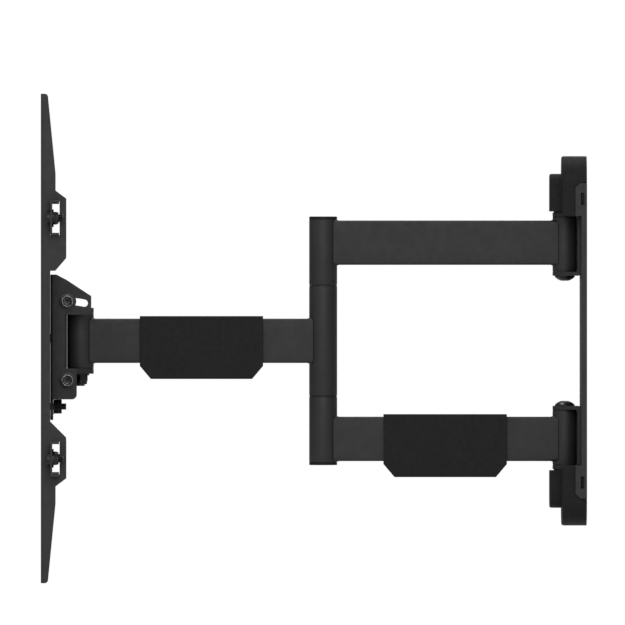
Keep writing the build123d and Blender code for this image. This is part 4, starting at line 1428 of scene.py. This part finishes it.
@dataclass
class WallBase(SubAssembly):
    """Wall plate, hinge brackets, moulded covers and the two wall pivot bolts."""

    body: str = "wall_base"
    sheet_edge: float = 0.3 * MM
    cover_edge: float = 0.35 * MM
    bolt: Bolt = Bolt(
        Head.DOME, head_diameter=18 * MM, head_height=4.9 * MM, diameter=10 * MM, length=70.1 * MM,
        pitch=1.5 * MM, thread_length=26 * MM, socket=5 * MM,
    )
    nut: Nut = Nut(flats=17 * MM, height=10 * MM, bore=10 * MM)
    washer: Sleeve = Sleeve(diameter=20 * MM, bore=10.2 * MM, height=1.6 * MM)

    def pair(self, upper: Axis, lower: Axis, level: float) -> list[Placing]:
        """Returns the places of a fastener on the pivot line and of its mirror image below the middle.

        Args:
            upper: The way that the upper one faces.
            lower: The way that the lower one faces.
            level: How far from the middle their seats are.

        Returns:
            The two places.
        """
        pivot = middle("upper_wall_knuckle").y
        return [Placing(upper, (0.0, pivot, level)), Placing(lower, (0.0, pivot, -level))]

    def build(self) -> None:
        """Builds the pieces."""
        sheets = ("wall_plate", "upper_hinge_bracket", "lower_hinge_bracket")
        self.soften(Slot.POWDER_COAT, self.sheet_edge, *sheets)
        self.soften(Slot.COVER_PLASTIC, self.cover_edge, "upper_wall_cover", "lower_wall_cover")
        low, high = span("upper_hinge_bracket")
        heads = self.pair(Axis.DOWN, Axis.UP, low.z)
        washers = self.pair(Axis.UP, Axis.DOWN, high.z)
        self.fasten("wall_bolt_pair", self.bolt, heads, "wall_pivot_bolts")
        self.fasten("wall_washer_pair", self.washer, washers, "wall_pivot_washers")
        seats = self.pair(Axis.UP, Axis.DOWN, high.z + self.washer.height)
        self.lock("wall_nut_pair", "wall_nut_inserts", self.nut, seats, "wall_pivot_nuts")


@dataclass(frozen=True)
class TubeSizes:
    """An upright tube: the bolt or shaft that runs in its bushes, its wall and its softened ends."""

    bore: float
    wall: float = 2.5 * MM
    edge: float = 0.3 * MM


@dataclass
class Link(SubAssembly):
    """A link of the arm: box tube between upright tubes, welded on, with flanged bushes and a cable cover."""

    width: float = 20 * MM
    height: float = 40 * MM
    corner: float = 2.5 * MM
    lip: float = 1.3 * MM
    neck: float = 3.0 * MM
    ripple: float = 0.75 * MM
    bead: float = 1.25 * MM
    bead_rise: float = 0.42
    bead_steps: int = 12
    bush_inset: float = 0.3 * MM
    bush_clearance: float = 0.04 * MM
    bush_length: float = 15 * MM
    cover_edge: float = 0.35 * MM

    def arm(self, node: str, rear: str, front: str) -> None:
        """Makes an arm between two upright tubes.

        Args:
            node: The arm's node.
            rear: The node of the tube at its wall end.
            front: The node of the tube at its screen end.
        """
        mesh = self.shop.arms.run(
            None,
            Width=self.width,
            Height=self.height,
            Corner=self.corner,
            Level=middle(node).z,
            Rear=middle(rear).y,
            Front=middle(front).y,
            Rear_Radius=across(rear) / 2,
            Front_Radius=across(front) / 2,
            Lip=self.lip,
            Neck=self.neck,
            Finish=self.shop.palette.materials[Slot.POWDER_COAT],
        )
        self.shop.hand_over(f"{node}_tube", mesh, self.body, Slot.POWDER_COAT, [node])

    def weld_lines(self, lines: bmesh.types.BMesh, node: str, tube: str) -> None:
        """Adds the two lines where an arm's upper and lower faces meet an upright tube.

        Args:
            lines: The mesh that takes the lines, as edges.
            node: The arm's node.
            tube: The tube's node.
        """
        axis, radius = middle(tube).y, across(tube) / 2
        side = math.copysign(1.0, middle(node).y - axis)
        reach = math.asin((self.width / 2 - self.corner) / radius)
        for corner in span(node):
            points = []
            for step in range(self.bead_steps + 1):
                bearing = reach * (2 * step / self.bead_steps - 1)
                spot = (radius * math.sin(bearing), axis + side * radius * math.cos(bearing), corner.z)
                points.append(lines.verts.new(spot))
            for first, second in zip(points, points[1:]):
                lines.edges.new((first, second))

    def weld(self, name: str, joints: Sequence[tuple[str, str]]) -> None:
        """Lays the beads of several joints as one piece.

        Args:
            name: The piece's name.
            joints: Pairs of an arm's node and a tube's node.
        """
        lines = bmesh.new()
        for node, tube in joints:
            self.weld_lines(lines, node, tube)
        mesh = self.shop.welds.run(
            lines,
            Ripple_Spacing=self.ripple,
            Bead_Radius=self.bead,
            Bead_Rise=self.bead_rise,
            Finish=self.shop.palette.materials[Slot.POWDER_COAT],
        )
        self.shop.hand_over(name, mesh, self.body, Slot.POWDER_COAT)

    def upright_tube(self, node: str, sizes: TubeSizes) -> None:
        """Makes an upright tube with softened ends.

        Args:
            node: The tube's node.
            sizes: The tube's sizes.
        """
        low, high = span(node)
        diameter = across(node)
        shape = Sleeve(diameter, diameter - 2 * sizes.wall, high.z - low.z, sizes.edge)
        place = ((low.x + high.x) / 2, (low.y + high.y) / 2, low.z)
        self.fasten(f"{node}_finished", shape, [Placing(Axis.UP, place)], node, Slot.POWDER_COAT)

    def bushes(self, node: str, sizes: TubeSizes, *tubes: str) -> None:
        """Makes the bushes at both ends of upright tubes.

        Args:
            node: The bushes' node.
            sizes: The tubes' sizes.
            tubes: The nodes of their tubes.
        """
        places = []
        for tube in tubes:
            low, high = span(tube)
            axis = (low.y + high.y) / 2
            places += [Placing(Axis.UP, (0.0, axis, high.z)), Placing(Axis.DOWN, (0.0, axis, low.z))]
        diameter = across(tubes[0])
        bush = Bush(
            diameter - self.bush_inset,
            diameter - 2 * sizes.wall,
            sizes.bore + self.bush_clearance,
            self.bush_length,
        )
        self.fasten(f"{node}_finished", bush, places, node, Slot.NYLON)


@dataclass
class RearLink(Link):
    """The two rear arms, tied together by the elbow column."""

    body: str = "rear_link"
    knuckle: TubeSizes = TubeSizes(bore=10 * MM)
    column: TubeSizes = TubeSizes(bore=12 * MM, edge=0.65 * MM)
    cap_edge: float = 0.15 * MM

    def build(self) -> None:
        """Builds the pieces."""
        joints = []
        for level in ("upper", "lower"):
            arm, knuckle, tube = f"{level}_rear_arm", f"{level}_wall_knuckle", f"{level}_elbow_tube"
            self.arm(arm, knuckle, tube)
            self.upright_tube(knuckle, self.knuckle)
            self.upright_tube(tube, self.column)
            joints += [(arm, knuckle), (arm, tube)]
        self.weld("rear_arm_welds", joints)
        self.soften(Slot.COVER_PLASTIC, self.cap_edge, "elbow_end_caps")
        self.soften(Slot.COVER_PLASTIC, self.cover_edge, "rear_cable_cover")
        for node in ("elbow_shaft", "elbow_shaft_plugs"):
            self.shop.keep(node, Slot.BRIGHT_STEEL)
        self.bushes("wall_knuckle_bushes", self.knuckle, "upper_wall_knuckle", "lower_wall_knuckle")


@dataclass
class FrontLink(Link):
    """The front arm, from the elbow to the swivel."""

    body: str = "front_link"
    elbow: TubeSizes = TubeSizes(bore=12 * MM, edge=0.65 * MM)
    swivel: TubeSizes = TubeSizes(bore=8 * MM)

    def build(self) -> None:
        """Builds the pieces."""
        self.arm("front_arm", "front_elbow_tube", "swivel_knuckle")
        self.upright_tube("front_elbow_tube", self.elbow)
        self.upright_tube("swivel_knuckle", self.swivel)
        self.weld("front_arm_welds", [("front_arm", "front_elbow_tube"), ("front_arm", "swivel_knuckle")])
        self.soften(Slot.COVER_PLASTIC, self.cover_edge, "front_cable_cover")
        self.bushes("elbow_bushes", self.elbow, "front_elbow_tube")
        self.bushes("swivel_bushes", self.swivel, "swivel_knuckle")


@dataclass
class SwivelHead(SubAssembly):
    """The yoke with its swivel bolt, and the two tilt bolts."""

    body: str = "swivel_head"
    sheet_edge: float = 0.2 * MM
    swivel_bolt: Bolt = Bolt(
        Head.COUNTERSUNK, head_diameter=16 * MM, head_height=4.2 * MM, diameter=8 * MM, length=70.4 * MM,
        pitch=1.25 * MM, thread_length=22 * MM, socket=5 * MM,
    )
    swivel_nut: Nut = Nut(flats=13 * MM, height=8 * MM, bore=8 * MM)
    swivel_washer: Sleeve = Sleeve(diameter=16 * MM, bore=8.2 * MM, height=1.5 * MM)
    tilt_bolt: Bolt = Bolt(
        Head.CAP, head_diameter=11.6 * MM, head_height=4.5 * MM, diameter=6 * MM, length=70.1 * MM,
        pitch=1.0 * MM, thread_length=24 * MM, socket=5 * MM,
    )
    tilt_nut: Nut = Nut(flats=10 * MM, height=6 * MM, bore=6 * MM)
    tilt_washer: Sleeve = Sleeve(diameter=14.2 * MM, bore=6.2 * MM, height=1.2 * MM)
    friction_washer: Sleeve = Sleeve(diameter=16 * MM, bore=6.2 * MM, height=1.0 * MM)

    def build(self) -> None:
        """Builds the pieces."""
        self.soften(Slot.POWDER_COAT, self.sheet_edge, "swivel_yoke")
        self.build_swivel()
        self.build_tilt()

    def build_swivel(self) -> None:
        """Builds the swivel bolt, its washer and its nut."""
        pivot = middle("swivel_knuckle").y
        top, bottom = span("swivel_bolt")[1].z, span("swivel_washer")[1].z
        head = [Placing(Axis.UP, (0.0, pivot, top))]
        washer = [Placing(Axis.DOWN, (0.0, pivot, bottom))]
        seat = [Placing(Axis.DOWN, (0.0, pivot, bottom - self.swivel_washer.height))]
        self.fasten("swivel_bolt_finished", self.swivel_bolt, head, "swivel_bolt")
        self.fasten("swivel_washer_finished", self.swivel_washer, washer, "swivel_washer")
        self.lock("swivel_nut_finished", "swivel_nut_insert", self.swivel_nut, seat, "swivel_nut")

    def build_tilt(self) -> None:
        """Builds the tilt bolts, their washers and their nuts."""
        low, high = span("tilt_washers")
        axis, level = (low.y + high.y) / 2, (low.z + high.z) / 2
        spread = high.z - low.z - self.tilt_washer.diameter

        def row(facing: Axis, out: float) -> Placing:
            """Returns the places of an upper and a lower fastener.

            Args:
                facing: The way that they face.
                out: How far out they stand.

            Returns:
                The places.
            """
            return Placing(facing, (out, axis, level), up=spread)

        def rows(out: float) -> list[Placing]:
            """Returns the places on both sides, facing out."""
            return [row(Axis.RIGHT, out), row(Axis.LEFT, -out)]

        nuts = [row(Axis.LEFT, -high.x)]
        washers = rows(high.x - self.tilt_washer.height)
        barrels = rows(span("tilt_friction_washers")[1].x - self.friction_washer.height)
        heads = [row(Axis.RIGHT, high.x)]
        self.fasten("tilt_bolt_pair", self.tilt_bolt, heads, "tilt_bolts", Slot.BRIGHT_STEEL)
        self.fasten("tilt_washer_set", self.tilt_washer, washers, "tilt_washers")
        self.lock("tilt_nut_pair", "tilt_nut_inserts", self.tilt_nut, nuts, "tilt_nuts")
        self.fasten(
            "friction_washer_set", self.friction_washer, barrels, "tilt_friction_washers", Slot.NYLON
        )


@dataclass
class TiltHead(SubAssembly):
    """The tilt bracket."""

    body: str = "tilt_head"
    sheet_edge: float = 0.3 * MM

    def build(self) -> None:
        """Builds the bracket."""
        self.soften(Slot.POWDER_COAT, self.sheet_edge, "tilt_bracket")


@dataclass
class ScreenFrame(SubAssembly):
    """Screen plate, crossbars, stop screws and the level adjustment."""

    body: str = "screen_frame"
    sheet_edge: float = 0.3 * MM
    bar_bolt: Bolt = Bolt(
        Head.DOME, head_diameter=14 * MM, head_height=2.6 * MM, diameter=6 * MM, length=9.3 * MM,
        pitch=1.0 * MM, thread_length=6 * MM,
    )
    bar_nut: Nut = Nut(flats=10 * MM, height=5 * MM, bore=6 * MM)
    stop_screw: Bolt = Bolt(
        Head.CAP, head_diameter=12 * MM, head_height=3.2 * MM, diameter=6 * MM, length=11.8 * MM,
        pitch=1.0 * MM, thread_length=9.5 * MM, socket=4 * MM,
    )
    stop_washer: Sleeve = Sleeve(diameter=14.5 * MM, bore=6.2 * MM, height=1.3 * MM)
    stop_nut: Nut = Nut(flats=10 * MM, height=4.4 * MM, bore=6 * MM)
    level_bolt: Bolt = Bolt(
        Head.DOME, head_diameter=16 * MM, head_height=2.4 * MM, diameter=8 * MM, length=11.9 * MM,
        pitch=1.25 * MM, thread_length=7 * MM,
    )
    level_washer: Sleeve = Sleeve(diameter=16 * MM, bore=8.2 * MM, height=1.2 * MM)
    level_nut: Nut = Nut(flats=13 * MM, height=5 * MM, bore=8 * MM)
    lock_bolt: Bolt = Bolt(
        Head.DOME, head_diameter=16 * MM, head_height=2.4 * MM, diameter=6 * MM, length=16.9 * MM,
        pitch=1.0 * MM, thread_length=12 * MM,
    )
    lock_washer: Sleeve = Sleeve(diameter=14 * MM, bore=6.2 * MM, height=1.0 * MM)
    lock_knob: Knob = Knob(diameter=13 * MM, bore=6.04 * MM, height=6.6 * MM)

    def build(self) -> None:
        """Builds the pieces."""
        self.soften(Slot.POWDER_COAT, self.sheet_edge, "screen_plate", "upper_crossbar", "lower_crossbar")
        self.build_bar_bolts()
        self.build_stops()
        self.build_level()

    def corners(self, node: str, size: float, facing: Axis, seat: float) -> list[Placing]:
        """Returns the four places of a node's fasteners.

        Args:
            node: The node.
            size: The fastener's own width.
            facing: The way that the fasteners face.
            seat: Where they stand along Y.

        Returns:
            The places.
        """
        low, high = span(node)
        spot = (0.0, seat, (low.z + high.z) / 2)
        return [Placing(facing, spot, high.x - low.x - size, high.z - low.z - size)]

    def build_bar_bolts(self) -> None:
        """Builds the bolts and nuts that hold the crossbars."""
        size = self.bar_bolt.head_diameter
        bolts = self.corners("crossbar_bolts", size, Axis.TO_SCREEN, span("screen_plate")[0].y)
        nuts = self.corners("crossbar_bolts", size, Axis.TO_WALL, span("crossbar_nuts")[0].y)
        self.fasten("crossbar_bolt_set", self.bar_bolt, bolts, "crossbar_bolts")
        self.lock("crossbar_nut_set", "crossbar_nut_inserts", self.bar_nut, nuts, "crossbar_nuts")

    def build_stops(self) -> None:
        """Builds the stop screws with their washers and nuts."""
        size = self.stop_washer.diameter
        seat = span("stop_washers")[0].y
        screws = self.corners("stop_washers", size, Axis.TO_SCREEN, span("upper_crossbar")[0].y)
        washers = self.corners("stop_washers", size, Axis.TO_WALL, seat)
        nuts = self.corners("stop_washers", size, Axis.TO_WALL, seat + self.stop_washer.height)
        self.fasten("stop_screw_set", self.stop_screw, screws, "stop_screws")
        self.fasten("stop_washer_set", self.stop_washer, washers, "stop_washers")
        self.lock("stop_nut_set", "stop_nut_inserts", self.stop_nut, nuts, "stop_nuts")

    def build_level(self) -> None:
        """Builds the level pivot and the level lock."""
        front = span("screen_plate")[0].y
        washer = span("level_pivot_washer")[0].y
        pivot, lock = middle("level_pivot_bolt").z, middle("level_lock_bolt").z
        nut = [Placing(Axis.TO_WALL, (0.0, washer + self.level_washer.height, pivot))]
        for node, shape, facing, seat, level in (
            ("level_pivot_bolt", self.level_bolt, Axis.TO_SCREEN, front, pivot),
            ("level_pivot_washer", self.level_washer, Axis.TO_WALL, washer, pivot),
            ("level_pivot_nut", self.level_nut, Axis.TO_WALL, washer + self.level_washer.height, pivot),
            ("level_lock_bolt", self.lock_bolt, Axis.TO_SCREEN, front, lock),
            ("level_lock_washer", self.lock_washer, Axis.TO_WALL, washer, lock),
            ("level_lock_knob", self.lock_knob, Axis.TO_WALL, washer + self.lock_washer.height, lock),
        ):
            slot = Slot.COVER_PLASTIC if shape is self.lock_knob else Slot.BLACK_STEEL
            self.fasten(f"{node}_finished", shape, [Placing(facing, (0.0, seat, level))], node, slot)
        self.fasten("level_nut_insert", Insert(self.level_nut), nut, slot=Slot.NYLON)


@dataclass
class Rail(SubAssembly):
    """One of the two upright rails that the screen bolts to."""

    side: str = "left"
    sheet_edge: float = 0.3 * MM

    def build(self) -> None:
        """Builds the rail."""
        self.shop.soften(f"{self.side}_tv_rail", f"{self.side}_rail", Slot.POWDER_COAT, self.sheet_edge)


def main() -> None:
    """Builds the studio and every sub-assembly."""
    logging.basicConfig(level=logging.INFO, format="%(message)s")
    Studio().build()
    shop = Workshop()
    parts = [kind(shop) for kind in (WallBase, RearLink, FrontLink, SwivelHead, TiltHead, ScreenFrame)]
    parts += [Rail(shop, side=side) for side in ("left", "right")]
    for part in parts:
        LOG.info("building %s", type(part).__name__)
        part.build()


if __name__ == "__main__":
    main()
